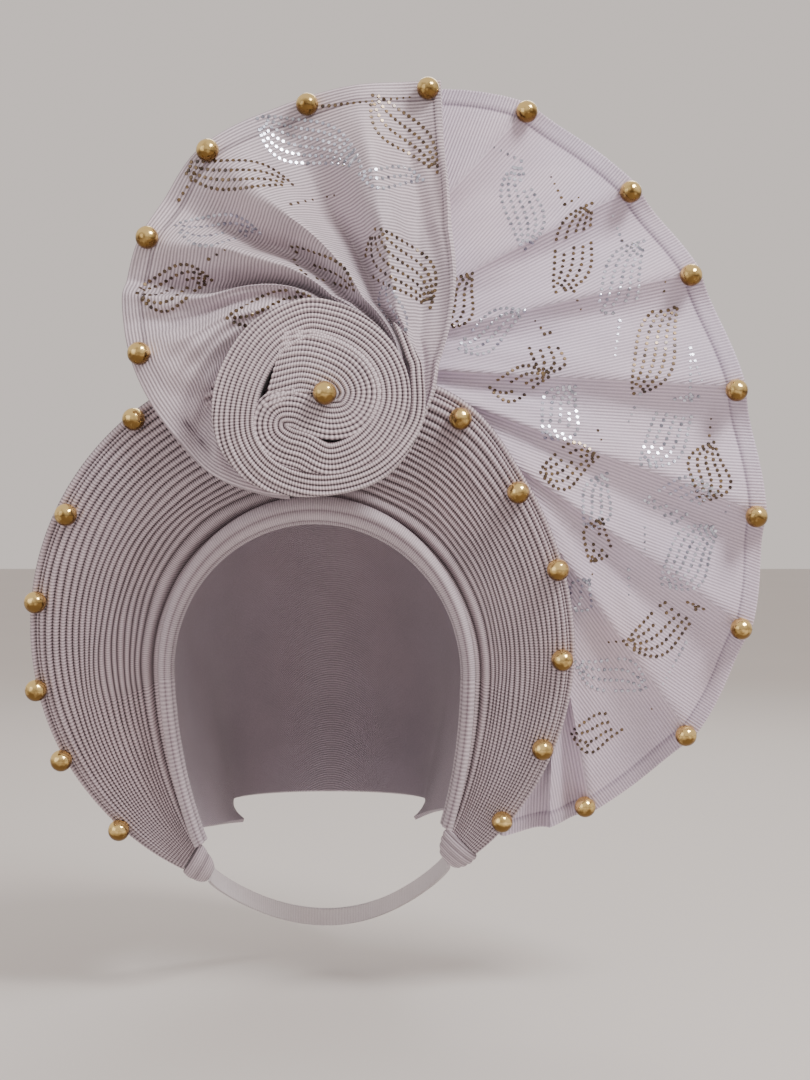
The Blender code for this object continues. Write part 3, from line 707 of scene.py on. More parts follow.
def closed_sheet(name: str, front: np.ndarray, back: np.ndarray, back_steps: tuple[int, int],
                 rib: np.ndarray, pleat: np.ndarray, depth: np.ndarray,
                 rib_end: np.ndarray | None = None) -> bpy.types.Object:
    """Make a closed wall between a fine front grid and a coarser back grid.

    Args:
        name: The piece's name.
        front: Grid of points of the visible side.
        back: Grid of the same size, of which only some rows and columns are used.
        back_steps: Rows and columns of the front for each row and column of the back.
        rib: Rib count at each point of the front.
        pleat: Fold count at each point of the front, which also sets where the cloth's painted valley shade
            falls.
        depth: Share of the full fold depth at each point of the front.
        rib_end: Rib count of each point as seen from the face on its left, where that differs.

    Returns:
        The new object, with the counts as attributes and as its UV map.
    """
    rows, columns = front.shape[:2]
    back_rows = sorted({*range(0, rows, back_steps[0]), rows - 1})
    back_columns = sorted({*range(0, columns, back_steps[1]), columns - 1})
    fine = np.arange(rows * columns).reshape(rows, columns)
    coarse = rows * columns + np.arange(len(back_rows) * len(back_columns))
    coarse = coarse.reshape(len(back_rows), len(back_columns))
    picked = np.ix_(back_rows, back_columns)
    points = np.concatenate([front.reshape(-1, 3), back[picked].reshape(-1, 3)])
    quads, faces = sheet_faces(fine, coarse, back_rows, back_columns)
    mesh = bpy.data.meshes.new(name)
    mesh.from_pydata(points.tolist(), [], faces)
    lift = np.concatenate([grid_normals(front).reshape(-1, 3), np.zeros((coarse.size, 3))])
    mesh.attributes.new("lift", "FLOAT_VECTOR", "POINT").data.foreach_set("vector", lift.ravel())
    flat = {}
    for label, value in {"rib": rib, "pleat": pleat, "depth": depth}.items():
        full = np.broadcast_to(value, (rows, columns)).astype(float)
        flat[label] = np.concatenate([full.ravel(), full[picked].ravel()])
        mesh.attributes.new(label, "FLOAT", "POINT").data.foreach_set("value", flat[label])
    corners = np.empty(len(mesh.loops), dtype=int)
    mesh.loops.foreach_get("vertex_index", corners)
    pairs = np.stack([flat["rib"][corners], flat["pleat"][corners]], axis=-1)
    if rib_end is not None:
        right = pairs[:quads.size].reshape(-1, 4, 2)
        right[:, 1:3, 0] = rib_end.ravel()[quads[:, 1:3]]
    mesh.uv_layers.new(name=UV_NAME).data.foreach_set("uv", pairs.ravel())
    mesh.shade_smooth()
    mesh.set_sharp_from_angle(angle=math.radians(SHEET_SHARP_DEG))
    return add_object(name, mesh)


def new_tree(name: str, numbers: tuple[str, ...]) -> tuple[Nodes, bpy.types.Node, bpy.types.Node]:
    """Start geometry nodes that take a geometry, some numbers and a material.

    Args:
        name: The tree's name.
        numbers: Names of the number inputs.

    Returns:
        The tree's nodes, its input node and its output node.
    """
    tree = bpy.data.node_groups.new(name, "GeometryNodeTree")
    face = tree.interface
    face.new_socket("Geometry", in_out="INPUT", socket_type="NodeSocketGeometry")
    for label in numbers:
        face.new_socket(label, in_out="INPUT", socket_type="NodeSocketFloat")
    face.new_socket("Material", in_out="INPUT", socket_type="NodeSocketMaterial")
    face.new_socket("Geometry", in_out="OUTPUT", socket_type="NodeSocketGeometry")
    nodes = Nodes(tree)
    return nodes, nodes.add("NodeGroupInput"), nodes.add("NodeGroupOutput")


def relief_tree() -> bpy.types.NodeTree:
    """Geometry nodes that raise pleats and ribs out of a sheet.

    Returns:
        The node tree, with inputs for both depths, the pleats' roundness and the material.
    """
    nodes, given, out = new_tree("pleats_and_ribs", ("Pleat Depth", "Rib Depth", "Roundness"))
    phase = nodes.math("FRACT", nodes.attribute("pleat", "FLOAT"))
    spread = nodes.math("ABSOLUTE", nodes.math("MULTIPLY_ADD", phase, 2.0, -1.0))
    crown = nodes.math("SUBTRACT", 1.0, nodes.math("POWER", spread, given.outputs["Roundness"]))
    full = nodes.math("MULTIPLY", crown, given.outputs["Pleat Depth"])
    fold = nodes.math("MULTIPLY", full, nodes.attribute("depth", "FLOAT"))
    ribs = nodes.math("MULTIPLY", nodes.wave(nodes.attribute("rib", "FLOAT")), given.outputs["Rib Depth"])
    rise = nodes.math("ADD", fold, ribs)
    scale = nodes.add("ShaderNodeVectorMath", operation="SCALE")
    nodes.feed(scale, 0, nodes.attribute("lift", "FLOAT_VECTOR"))
    nodes.feed(scale, "Scale", rise)
    move = nodes.add("GeometryNodeSetPosition")
    nodes.feed(move, "Geometry", given.outputs["Geometry"])
    nodes.feed(move, "Offset", scale.outputs[0])
    finish_tree(nodes, move.outputs[0], given.outputs["Material"], out)
    return nodes.tree


def small_model(nodes: Nodes, shape: SmallShape) -> bpy.types.NodeSocket:
    """Add one small shape with a radius of 1.

    Args:
        nodes: The nodes of a geometry tree.
        shape: A round bead or a cut stone.

    Returns:
        The shape's mesh.
    """
    if shape is SmallShape.BEAD:
        ball = nodes.add("GeometryNodeMeshUVSphere")
        nodes.feed(ball, "Segments", BEAD_SEGMENTS)
        nodes.feed(ball, "Rings", BEAD_RINGS)
        nodes.feed(ball, "Radius", 1.0)
        smooth = nodes.add("GeometryNodeSetShadeSmooth")
        nodes.feed(smooth, "Geometry", ball.outputs["Mesh"])
        return smooth.outputs[0]
    cut = nodes.add("GeometryNodeMeshCone")
    nodes.feed(cut, "Vertices", STONE_SIDES)
    nodes.feed(cut, "Radius Top", STONE_TABLE)
    nodes.feed(cut, "Radius Bottom", 1.0)
    nodes.feed(cut, "Depth", STONE_DEPTH)
    return cut.outputs["Mesh"]


def scatter_tree(name: str, shape: SmallShape) -> bpy.types.NodeTree:
    """Geometry nodes that set one small shape on every point of a mesh.

    Args:
        name: The tree's name.
        shape: The small shape.

    Returns:
        The node tree, with inputs for the radius and the material.
    """
    nodes, given, out = new_tree(name, ("Radius",))
    model = small_model(nodes, shape)
    aligned = nodes.add("FunctionNodeAlignRotationToVector", axis="Z")
    nodes.feed(aligned, "Vector", nodes.attribute("facing", "FLOAT_VECTOR"))
    radius = nodes.math("MULTIPLY", nodes.attribute("size", "FLOAT"), given.outputs["Radius"])
    copies = nodes.add("GeometryNodeInstanceOnPoints")
    nodes.feed(copies, "Points", given.outputs["Geometry"])
    nodes.feed(copies, "Instance", model)
    nodes.feed(copies, "Rotation", aligned.outputs[0])
    nodes.feed(copies, "Scale", radius)
    real = nodes.add("GeometryNodeRealizeInstances")
    nodes.feed(real, "Geometry", copies.outputs[0])
    # upright: how far each point faces up, which the gold reads for its painted shade on the beads' lower
    # halves
    normal = nodes.add("GeometryNodeInputNormal")
    split = nodes.add("ShaderNodeSeparateXYZ")
    nodes.feed(split, 0, normal.outputs[0])
    stored = nodes.add("GeometryNodeStoreNamedAttribute", data_type="FLOAT", domain="POINT")
    nodes.feed(stored, "Geometry", real.outputs[0])
    nodes.feed(stored, "Name", "upright")
    nodes.feed(stored, "Value", split.outputs[2])
    finish_tree(nodes, stored.outputs[0], given.outputs["Material"], out)
    return nodes.tree


def finish_tree(nodes: Nodes, shape: bpy.types.NodeSocket, material: bpy.types.NodeSocket,
                out: bpy.types.Node) -> None:
    """End a tree in realized instances with a material.

    Args:
        nodes: The tree's nodes.
        shape: The geometry to end with.
        material: The material input.
        out: The tree's output node.
    """
    real = nodes.add("GeometryNodeRealizeInstances")
    nodes.feed(real, "Geometry", shape)
    dressed = nodes.add("GeometryNodeSetMaterial")
    nodes.feed(dressed, "Geometry", real.outputs[0])
    nodes.feed(dressed, "Material", material)
    nodes.feed(out, 0, dressed.outputs[0])


def apply_tree(piece: bpy.types.Object, tree: bpy.types.NodeTree, values: dict[str, object]) -> None:
    """Run geometry nodes on a piece and keep the result as its mesh.

    Args:
        piece: The piece to change.
        tree: The node tree.
        values: The tree's inputs, by name.
    """
    modifier = piece.modifiers.new(tree.name, "NODES")
    modifier.node_group = tree
    for item in tree.interface.items_tree:
        if item.item_type == "SOCKET" and item.in_out == "INPUT" and item.name in values:
            modifier[item.identifier] = values[item.name]
    bpy.context.view_layer.update()
    graph = bpy.context.evaluated_depsgraph_get()
    changed = piece.evaluated_get(graph)
    mesh = bpy.data.meshes.new_from_object(changed, preserve_all_data_layers=True, depsgraph=graph)
    piece.modifiers.remove(modifier)
    piece.data = mesh
    mesh.name = piece.name


@dataclass
class Workshop:
    """The node trees and finished materials that the pieces share."""

    relief: bpy.types.NodeTree
    materials: dict[str, bpy.types.Material]

    def dress(self, piece: bpy.types.Object, finish: RibbedCloth, pleat_depth: float, rib_depth: float,
              roundness: float = 2.4) -> None:
        """Raise a sheet's pleats and ribs and give it its cloth.

        Args:
            piece: The sheet.
            finish: Its cloth.
            pleat_depth: Height of a full pleat.
            rib_depth: Height of a rib.
            roundness: Shape of a pleat: 2 is a parabola, more is squarer.
        """
        if finish.name not in self.materials:
            self.materials[finish.name] = finish.build()
        apply_tree(piece, self.relief, {"Pleat Depth": pleat_depth, "Rib Depth": rib_depth,
                                        "Roundness": roundness, "Material": self.materials[finish.name]})


def declare(piece: bpy.types.Object, nodes: tuple[str, ...]) -> None:
    """Tie a cloth piece to the solids it stands for, hide those solids and log its face count and the area of
    one side.

    Args:
        piece: The cloth piece.
        nodes: The solids it stands for.
    """
    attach(piece, BODY)
    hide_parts(*nodes)
    area = sum(face.area for face in piece.data.polygons) / 2
    LOG.info("%s: %d faces, %.4f square metres a side", piece.name, len(piece.data.polygons), area)


@dataclass
class Halo:
    """Pleated halo: two soft folds by the face, fine pleats, a double line and a rim band."""

    inner_folds: int = 2
    pleats: int = 17
    inner_fold_width: float = 2.1
    inner_fold_depth: float = 1.25
    line_width: float = 0.5
    line_depth: float = 0.55
    rim_fold_width: float = 1.35
    rim_fold_depth: float = 0.85
    rib_pitch: float = 0.00135
    pleat_depth: float = 0.0019
    rib_depth: float = 0.00032
    wobble: float = 0.010
    waves: tuple[tuple[float, float, float, float], ...] = (
        (1.0, 2.3, 1.9, 0.0), (0.6, 5.1, 0.0, -0.4), (0.35, 9.7, 3.1, 0.0))
    uneven: float = 0.17
    seed: int = 7
    phases: tuple[float, ...] = (0.0, 0.14, 0.38, 0.62, 0.86)
    back_steps: tuple[int, int] = (12, 16)
    flat: tuple[float, float] = (0.52, 0.100)

    def fold_table(self) -> tuple[np.ndarray, np.ndarray]:
        """Folds from the face band to the rim, with a thin line between the last pleat and the rim fold.

        Returns:
            Width of each fold as a share of the whole, and its depth as a share of a full pleat.
        """
        plain = [1.0] * self.pleats
        widths = [self.inner_fold_width] * self.inner_folds + plain + [self.line_width, self.rim_fold_width]
        depths = [self.inner_fold_depth] * self.inner_folds + plain + [self.line_depth, self.rim_fold_depth]
        chance = np.random.default_rng(self.seed).uniform(-1.0, 1.0, (2, len(widths)))
        widths = np.array(widths) * (1.0 + self.uneven * chance[0])
        return widths / widths.sum(), np.array(depths) * (1.0 + self.uneven * chance[1])

    def build(self, shop: Workshop) -> bpy.types.Object:
        """Build and dress the halo.

        Args:
            shop: The shared trees and materials.

        Returns:
            The finished halo.
        """
        widths, depths = self.fold_table()
        starts = np.concatenate([[0.0], np.cumsum(widths)])
        last = len(widths) - 1e-6
        pleat = np.array([k + phase for k in range(len(widths)) for phase in self.phases] + [last])
        share = np.interp(pleat, np.arange(len(starts)), starts)
        depth = depths[np.minimum(pleat.astype(int), len(depths) - 1)]
        middle = FORM.halo(np.linspace(0.0, 1.0, 400), np.array(0.6))
        ribs = int(travel_along(middle)[-1] / self.rib_pitch)
        turn = np.linspace(0.0, 1.0, 2 * ribs + 1)[None, :]
        share = share[:, None]
        swing = slow_waves(self.waves, turn, share)
        share = share + self.wobble * swing * np.sin(math.pi * share)
        front = FORM.halo(turn, share)
        back = front - grid_normals(front) * FORM.halo_wall
        rib = np.linspace(0.0, ribs, 2 * ribs + 1)[None, :]
        fade = np.minimum(1.0, FORM.halo_width(turn) / FORM.full_width)
        piece = closed_sheet("halo", front, back, self.back_steps, rib, pleat[:, None], depth[:, None] * fade)
        shop.dress(piece, HALO_CLOTH, self.pleat_depth, self.rib_depth)
        declare(piece, ("halo_pleats",))
        return piece


@dataclass
class FaceBand:
    """Smooth rolled band round the face opening, with soft folds over the forehead."""

    width_top: float = 0.0115
    width_side: float = 0.0058
    forward: float = 0.0065
    stations: int = 260
    rows: int = 33
    folds: int = 3
    fold_depth: float = 0.0010
    least_rise: float = 0.6
    back_steps: tuple[int, int] = (4, 7)
    rib_pitch: float = 0.0013
    flat: tuple[float, float] = (0.40, 0.018)
    section: np.ndarray = field(default_factory=lambda: np.array([
        # across share, forward share
        (0.00, -0.95),
        (0.02, 0.00),
        (0.22, 0.75),
        (0.58, 1.00),
        (1.00, 0.45),
    ]))

    def build(self, shop: Workshop) -> bpy.types.Object:
        """Build and dress the band.

        Args:
            shop: The shared trees and materials.

        Returns:
            The finished band.
        """
        turn = np.linspace(0.0, 1.0, self.stations)[None, :]
        crown = np.maximum(0.0, -np.cos(FORM.face_angle(turn)))**2
        width = self.width_side + (self.width_top - self.width_side) * crown
        profile = smooth_rows(self.section, np.linspace(0.0, len(self.section) - 1, self.rows))
        across, height = FORM.oval(turn, profile[:, :1] * width)
        front = stack(across, FORM.lean(height) - profile[:, 1:] * self.forward, height)
        back = front - grid_normals(front) * FORM.band_wall
        rib = turn * self.flat[0] / self.rib_pitch
        pleat = np.linspace(0.0, self.folds, self.rows)[:, None] + 0.0 * turn
        above = np.clip(np.sin(2 * math.pi * (turn - 0.25)), 0.0, 1.0)
        rises = self.least_rise + (1.0 - self.least_rise) * above
        piece = closed_sheet("face_band_cloth", front, back, self.back_steps, rib, pleat, rises)
        shop.dress(piece, BAND_CLOTH, self.fold_depth, 0.0)
        declare(piece, ("face_band",))
        return piece


@dataclass
class HeadCap:
    """Dome of cloth over the head, and the draped wrap over its front half."""

    head_width: float = 0.150
    head_length: float = 0.196
    head_height: float = 0.190
    rim_setback: float = 0.0025
    wrap_tuck: float = 0.017
    wrap_least_share: float = 0.15
    wrap_end_share: float = 0.50
    wrap_fall: float = 1.2
    wrap_wall: float = 0.0016
    wrap_inset: float = 0.008
    gathers: int = 17
    gather_depth: float = 0.0024
    gather_columns: int = 12
    wrap_rows: int = 41
    wrap_ribs: float = 60.0
    cap_rows: int = 61
    cap_columns: int = 121
    cap_back_steps: tuple[int, int] = (1, 2)
    wrap_back_steps: tuple[int, int] = (4, 6)
    rib_pitch: float = 0.0013
    cap_flat: tuple[float, float] = (0.36, 0.30)
    wrap_flat: tuple[float, float] = (0.42, 0.13)
    sections: np.ndarray = field(default_factory=lambda: np.array([
        # top back, top rise, middle back, middle rise, base back, base rise, half width
        (-0.250, -0.045, -0.170, -0.570, -0.015, -1.020, 0.950),
        (0.000, 0.000, -0.030, -0.550, 0.030, -1.020, 1.000),
        (0.240, -0.055, 0.120, -0.550, 0.075, -1.020, 1.020),
        (0.440, -0.220, 0.270, -0.600, 0.120, -1.020, 0.980),
        (0.560, -0.470, 0.370, -0.680, 0.160, -1.022, 0.900),
        (0.555, -0.730, 0.410, -0.810, 0.215, -1.026, 0.810),
        (0.440, -0.985, 0.370, -0.990, 0.260, -1.030, 0.700),
    ]))

    def rim(self, turn: np.ndarray, setback: float) -> np.ndarray:
        """Points of the cap's outer side at its rim, set back behind the face plane."""
        across, height = FORM.oval(turn, FORM.cap_outwards())
        return stack(across, FORM.lean(height) + setback, height)

    def collar_setback(self) -> float:
        """How far back the cap runs straight before it rises."""
        return FORM.halo_dish + FORM.halo_wall + FORM.tuck_gap + FORM.seat_gap

    def surface(self, back: np.ndarray, turn: np.ndarray) -> np.ndarray:
        """Points of the cap's outer side; back runs from behind the halo to the nape.

        Args:
            back: Column of shares from front to back.
            turn: Row of turns round the face.

        Returns:
            A grid of points.
        """
        angle = FORM.face_angle(turn)[0]
        climb = -np.cos(angle)
        low = -climb / math.cos(math.radians(FORM.from_deg))
        arches = [self.rim(turn, self.collar_setback())[0]]
        for top_y, top_z, mid_y, mid_z, base_y, base_z, half in self.sections:
            top = np.array([top_y * self.head_length, top_z * self.head_height + FORM.cap_wall])
            middle = np.array([mid_y * self.head_length, mid_z * self.head_height])
            base = np.array([base_y * self.head_length, base_z * self.head_height])
            up = middle + (top - middle) * climb[:, None]
            down = middle + (base - middle) * low[:, None]
            place = np.where(climb[:, None] >= 0, up, down)
            across = -half * (self.head_width / 2) * np.sin(angle)
            arches.append(np.stack([across, place[:, 0], place[:, 1]], axis=-1))
        table = np.array([arch.ravel() for arch in arches])
        return smooth_rows(table, back[:, 0] * (len(arches) - 1)).reshape(len(back), -1, 3)

    def build_cap(self, shop: Workshop) -> bpy.types.Object:
        """Build and dress the cap.

        Args:
            shop: The shared trees and materials.

        Returns:
            The finished cap.
        """
        turn = np.linspace(0.0, 1.0, self.cap_columns)[None, :]
        body = self.surface(np.linspace(0.0, 1.0, self.cap_rows)[:, None], turn)
        front = np.concatenate([self.rim(turn, self.rim_setback), body])
        back = front - grid_normals(front) * FORM.cap_wall
        rib = travel_along(front) / self.rib_pitch
        ridge, flat = np.array([[0.5]]), np.array([[0.0]])
        piece = closed_sheet("cap_cloth_piece", front, back, self.cap_back_steps, rib, ridge, flat)
        shop.dress(piece, CAP_CLOTH, 0.0, 0.0)
        declare(piece, ("head_cap",))
        return piece

    def build_wrap(self, shop: Workshop) -> bpy.types.Object:
        """Build and dress the draped wrap behind the halo.

        Args:
            shop: The shared trees and materials.

        Returns:
            The finished wrap.
        """
        columns = self.gathers * self.gather_columns + 1
        turn = np.linspace(self.wrap_inset, 1.0 - self.wrap_inset, columns)[None, :]
        share = np.linspace(0.0, 1.0, self.wrap_rows)[:, None]
        width = FORM.halo_width(turn)
        start_share = np.maximum(width - self.wrap_tuck, width * self.wrap_least_share) / width
        start = FORM.halo(turn, start_share)
        start[..., 1] += FORM.halo_wall + self.wrap_wall + FORM.seat_gap + FORM.tuck_gap
        on_cap = self.surface(self.wrap_end_share * share, turn)
        collar = self.rim(turn, self.collar_setback())
        outwards = on_cap * np.array([1.0, 0.0, 1.0]) + np.array([0.0, 0.0, FORM.centre_drop])
        outwards /= np.linalg.norm(outwards, axis=-1, keepdims=True)
        clearance = self.wrap_wall + FORM.tuck_gap + FORM.seat_gap
        off_cap = (start - collar) * ((1.0 - share)**self.wrap_fall)[..., None]
        count = np.linspace(0.0, self.gathers, columns)[None, :]
        front = on_cap + off_cap + outwards * (clearance * share)[..., None]
        back = front - grid_normals(front) * self.wrap_wall
        rib = share * self.wrap_ribs
        swell = np.sin(math.pi * share)
        piece = closed_sheet("wrap_cloth_piece", front, back, self.wrap_back_steps, rib, count, swell)
        shop.dress(piece, WRAP_CLOTH, self.gather_depth, 0.0, 2.0)
        declare(piece, ("back_wrap",))
        return piece


@dataclass
class Rosette:
    """Wound rosette: one pleated band that curls round the bead, hooks back and winds on outwards."""

    half_width: float = 0.0447
    half_height: float = 0.0409
    across: float = 0.0038
    height: float = 0.0105
    thick: float = 0.0150
    dome: float = 0.0055
    pleat_pitch: float = 0.0022
    pleat_depth: float = 0.0016
    rib_depth: float = 0.00026
    rib_pitch: float = 0.00125
    overlap: float = 1.13
    rows: int = 72
    back_column_step: int = 4
    spine_points: int = 3000
    border_share: float = 0.3
    least_pleat: float = 0.70
    more_pleat: float = 0.35
    pleat_change: float = 1.9
    run_change: float = 0.004
    flat: tuple[float, float] = (0.52, 0.029)
    band: np.ndarray = field(default_factory=lambda: np.array([
        # across share, up share, half width share, slant of the station
        (-0.408, 0.246, 0.296, -0.60),
        (-0.138, 0.320, 0.282, -0.25),
        (0.110, 0.285, 0.250, -0.08),
        (0.290, 0.185, 0.222, 0.00),
        (0.365, 0.005, 0.215, 0.00),
        (0.300, -0.185, 0.195, 0.00),
        (0.128, -0.265, 0.168, 0.00),
        (-0.052, -0.222, 0.161, 0.00),
        (-0.195, -0.152, 0.168, 0.00),
        (-0.327, -0.142, 0.172, 0.00),
        (-0.418, -0.205, 0.170, 0.00),
        (-0.446, -0.318, 0.166, 0.00),
        (-0.408, -0.432, 0.166, 0.00),
        (-0.297, -0.520, 0.168, 0.00),
        (-0.137, -0.580, 0.170, 0.00),
        (0.096, -0.655, 0.137, 0.00),
        (0.329, -0.597, 0.143, 0.00),
        (0.519, -0.450, 0.149, 0.00),
        (0.647, -0.246, 0.154, 0.00),
        (0.700, -0.023, 0.152, 0.00),
        (0.662, 0.216, 0.152, 0.00),
        (0.548, 0.436, 0.158, 0.00),
        (0.366, 0.618, 0.170, 0.00),
        (0.128, 0.740, 0.180, 0.00),
        (-0.145, 0.765, 0.185, 0.00),
        (-0.495, 0.545, 0.200, 0.00),
        (-0.740, 0.089, 0.205, 0.00),
        (-0.760, -0.414, 0.180, 0.00),
        (-0.484, -0.796, 0.143, 0.00),
        (0.023, -0.919, 0.091, 0.00),
        (0.566, -0.750, 0.084, 0.00),
        (0.901, -0.278, 0.064, 0.00),
        (0.920, 0.232, 0.058, 0.00),
        (0.862, 0.425, 0.050, 0.00),
        (0.790, 0.590, 0.036, 0.00),
        (0.700, 0.740, 0.008, 0.00),
    ]))

    def spine(self, position: np.ndarray) -> np.ndarray:
        """Across, height, half width and slant of the band.

        Args:
            position: Row positions along the band, counted from 0.

        Returns:
            One row of the four values for each position.
        """
        rows = smooth_rows(self.band, position)
        mean = (self.half_width + self.half_height) / 2
        across = self.across + rows[:, 0] * self.half_width
        height = self.height + rows[:, 1] * self.half_height
        return np.stack([across, height, rows[:, 2] * mean * self.overlap, rows[:, 3]], axis=-1)

    def front_depth(self, across: np.ndarray, height: np.ndarray) -> np.ndarray:
        """Depth of the domed front before the rosette is seated."""
        reach = np.hypot((across - self.across) / self.half_width, (height - self.height) / self.half_height)
        return -self.thick - self.dome * (1.0 - np.minimum(reach, 1.2)**2)

    def build(self, shop: Workshop) -> bpy.types.Object:
        """Build and dress the rosette, seated where its solid is.

        Args:
            shop: The shared trees and materials.

        Returns:
            The finished rosette.
        """
        dense = np.linspace(0.0, len(self.band) - 1, self.spine_points)
        travel = travel_along(self.spine(dense)[:, :2])
        ribs = int(travel[-1] / self.rib_pitch)
        distance = np.linspace(0.0, travel[-1], 2 * ribs + 1)
        rows = self.spine(np.interp(distance, travel, dense))
        run = np.gradient(rows[:, :2], axis=0)
        run /= np.linalg.norm(run, axis=1, keepdims=True)
        side = np.stack([-run[:, 1], run[:, 0]], axis=-1) - run * rows[:, 3:4]
        offset = np.linspace(-1.0, 1.0, self.rows)[:, None] * rows[None, :, 2]
        inwards = rows[None, :, 2] - offset
        pleat = inwards / self.pleat_pitch
        border = np.minimum(inwards, 2.0 * rows[None, :, 2] - inwards)
        onwards = self.run_change * np.arange(len(distance))[None, :]
        uneven = self.least_pleat + self.more_pleat * np.sin(self.pleat_change * np.floor(pleat) + onwards)**2
        depth = np.clip(border / (self.border_share * self.pleat_pitch), 0.0, 1.0) * uneven
        x = rows[None, :, 0] + side[None, :, 0] * offset
        z = rows[None, :, 1] + side[None, :, 1] * offset
        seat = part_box("rosette")[1][1]
        front = stack(x, self.front_depth(x, z) + seat + self.pleat_depth, z)
        back = front * np.array([1.0, 0.0, 1.0]) + np.array([0.0, seat, 0.0])
        rib = np.linspace(0.0, ribs, 2 * ribs + 1)[None, :]
        back_steps = (self.rows - 1, self.back_column_step)
        piece = closed_sheet("wound_rosette", front, back, back_steps, rib, pleat, depth)
        shop.dress(piece, ROSETTE_CLOTH, self.pleat_depth, self.rib_depth)
        declare(piece, ("rosette",))
        return piece


@dataclass
class Hem:
    """Turned hem along the edge of a fan: its width, the line drawn darker along its inner edge, and how far
    it stands up.
    """

    width: float = 0.0085
    line: float = 0.0011
    rise: float = 0.0016
    tone: float = 0.21
    edge_rise: float = 0.4
    darkest_line: float = 0.15
    most_share: float = 0.35
    steps: tuple[float, ...] = (1.25, 1.16, 1.11, 1.06, 1.0, 0.94, 0.86, 0.62, 0.36, 0.12, 0.05, 0.0)

    def outs(self, length: np.ndarray, inner_rows: int) -> np.ndarray:
        """Shares from root to edge of a fan's rows, which lie closer together in the hem.

        Args:
            length: Length of each column from root to edge.
            inner_rows: Rows inside the hem.

        Returns:
            A grid of shares, one column for each length.
        """
        width = np.minimum(self.width, self.most_share * length)
        hem = 1.0 - np.array(self.steps)[:, None] * (width / length)[None, :]
        inner = np.linspace(0.0, 1.0, inner_rows, endpoint=False)[:, None] * hem[:1]
        return np.concatenate([inner, hem])

    def mark(self, distance: np.ndarray) -> tuple[np.ndarray, np.ndarray]:
        """How dark the hem band and the line along its inner edge are drawn, and how far the hem stands up.

        Args:
            distance: Distances from the hem's edge.

        Returns:
            Fold count and rise share at each distance.
        """
        # the hem band and a line along its inner edge are drawn darker by lowering the fold count
        line = np.clip(np.abs(distance - self.width) / self.line, self.darkest_line, 1.0)
        inside = np.clip((self.width - distance) / self.line + 0.5, 0.0, 1.0)
        rounded = np.clip(distance / self.line, 0.0, 1.0)
        count = 0.5 + (self.tone - 0.5) * inside * rounded
        return count * line, inside * (self.edge_rise + (1.0 - self.edge_rise) * rounded)


def edge_distance(front: np.ndarray) -> np.ndarray:
    """Distance of each grid point from its column's last row, along the column."""
    travel = travel_along(front)
    return travel[-1:] - travel


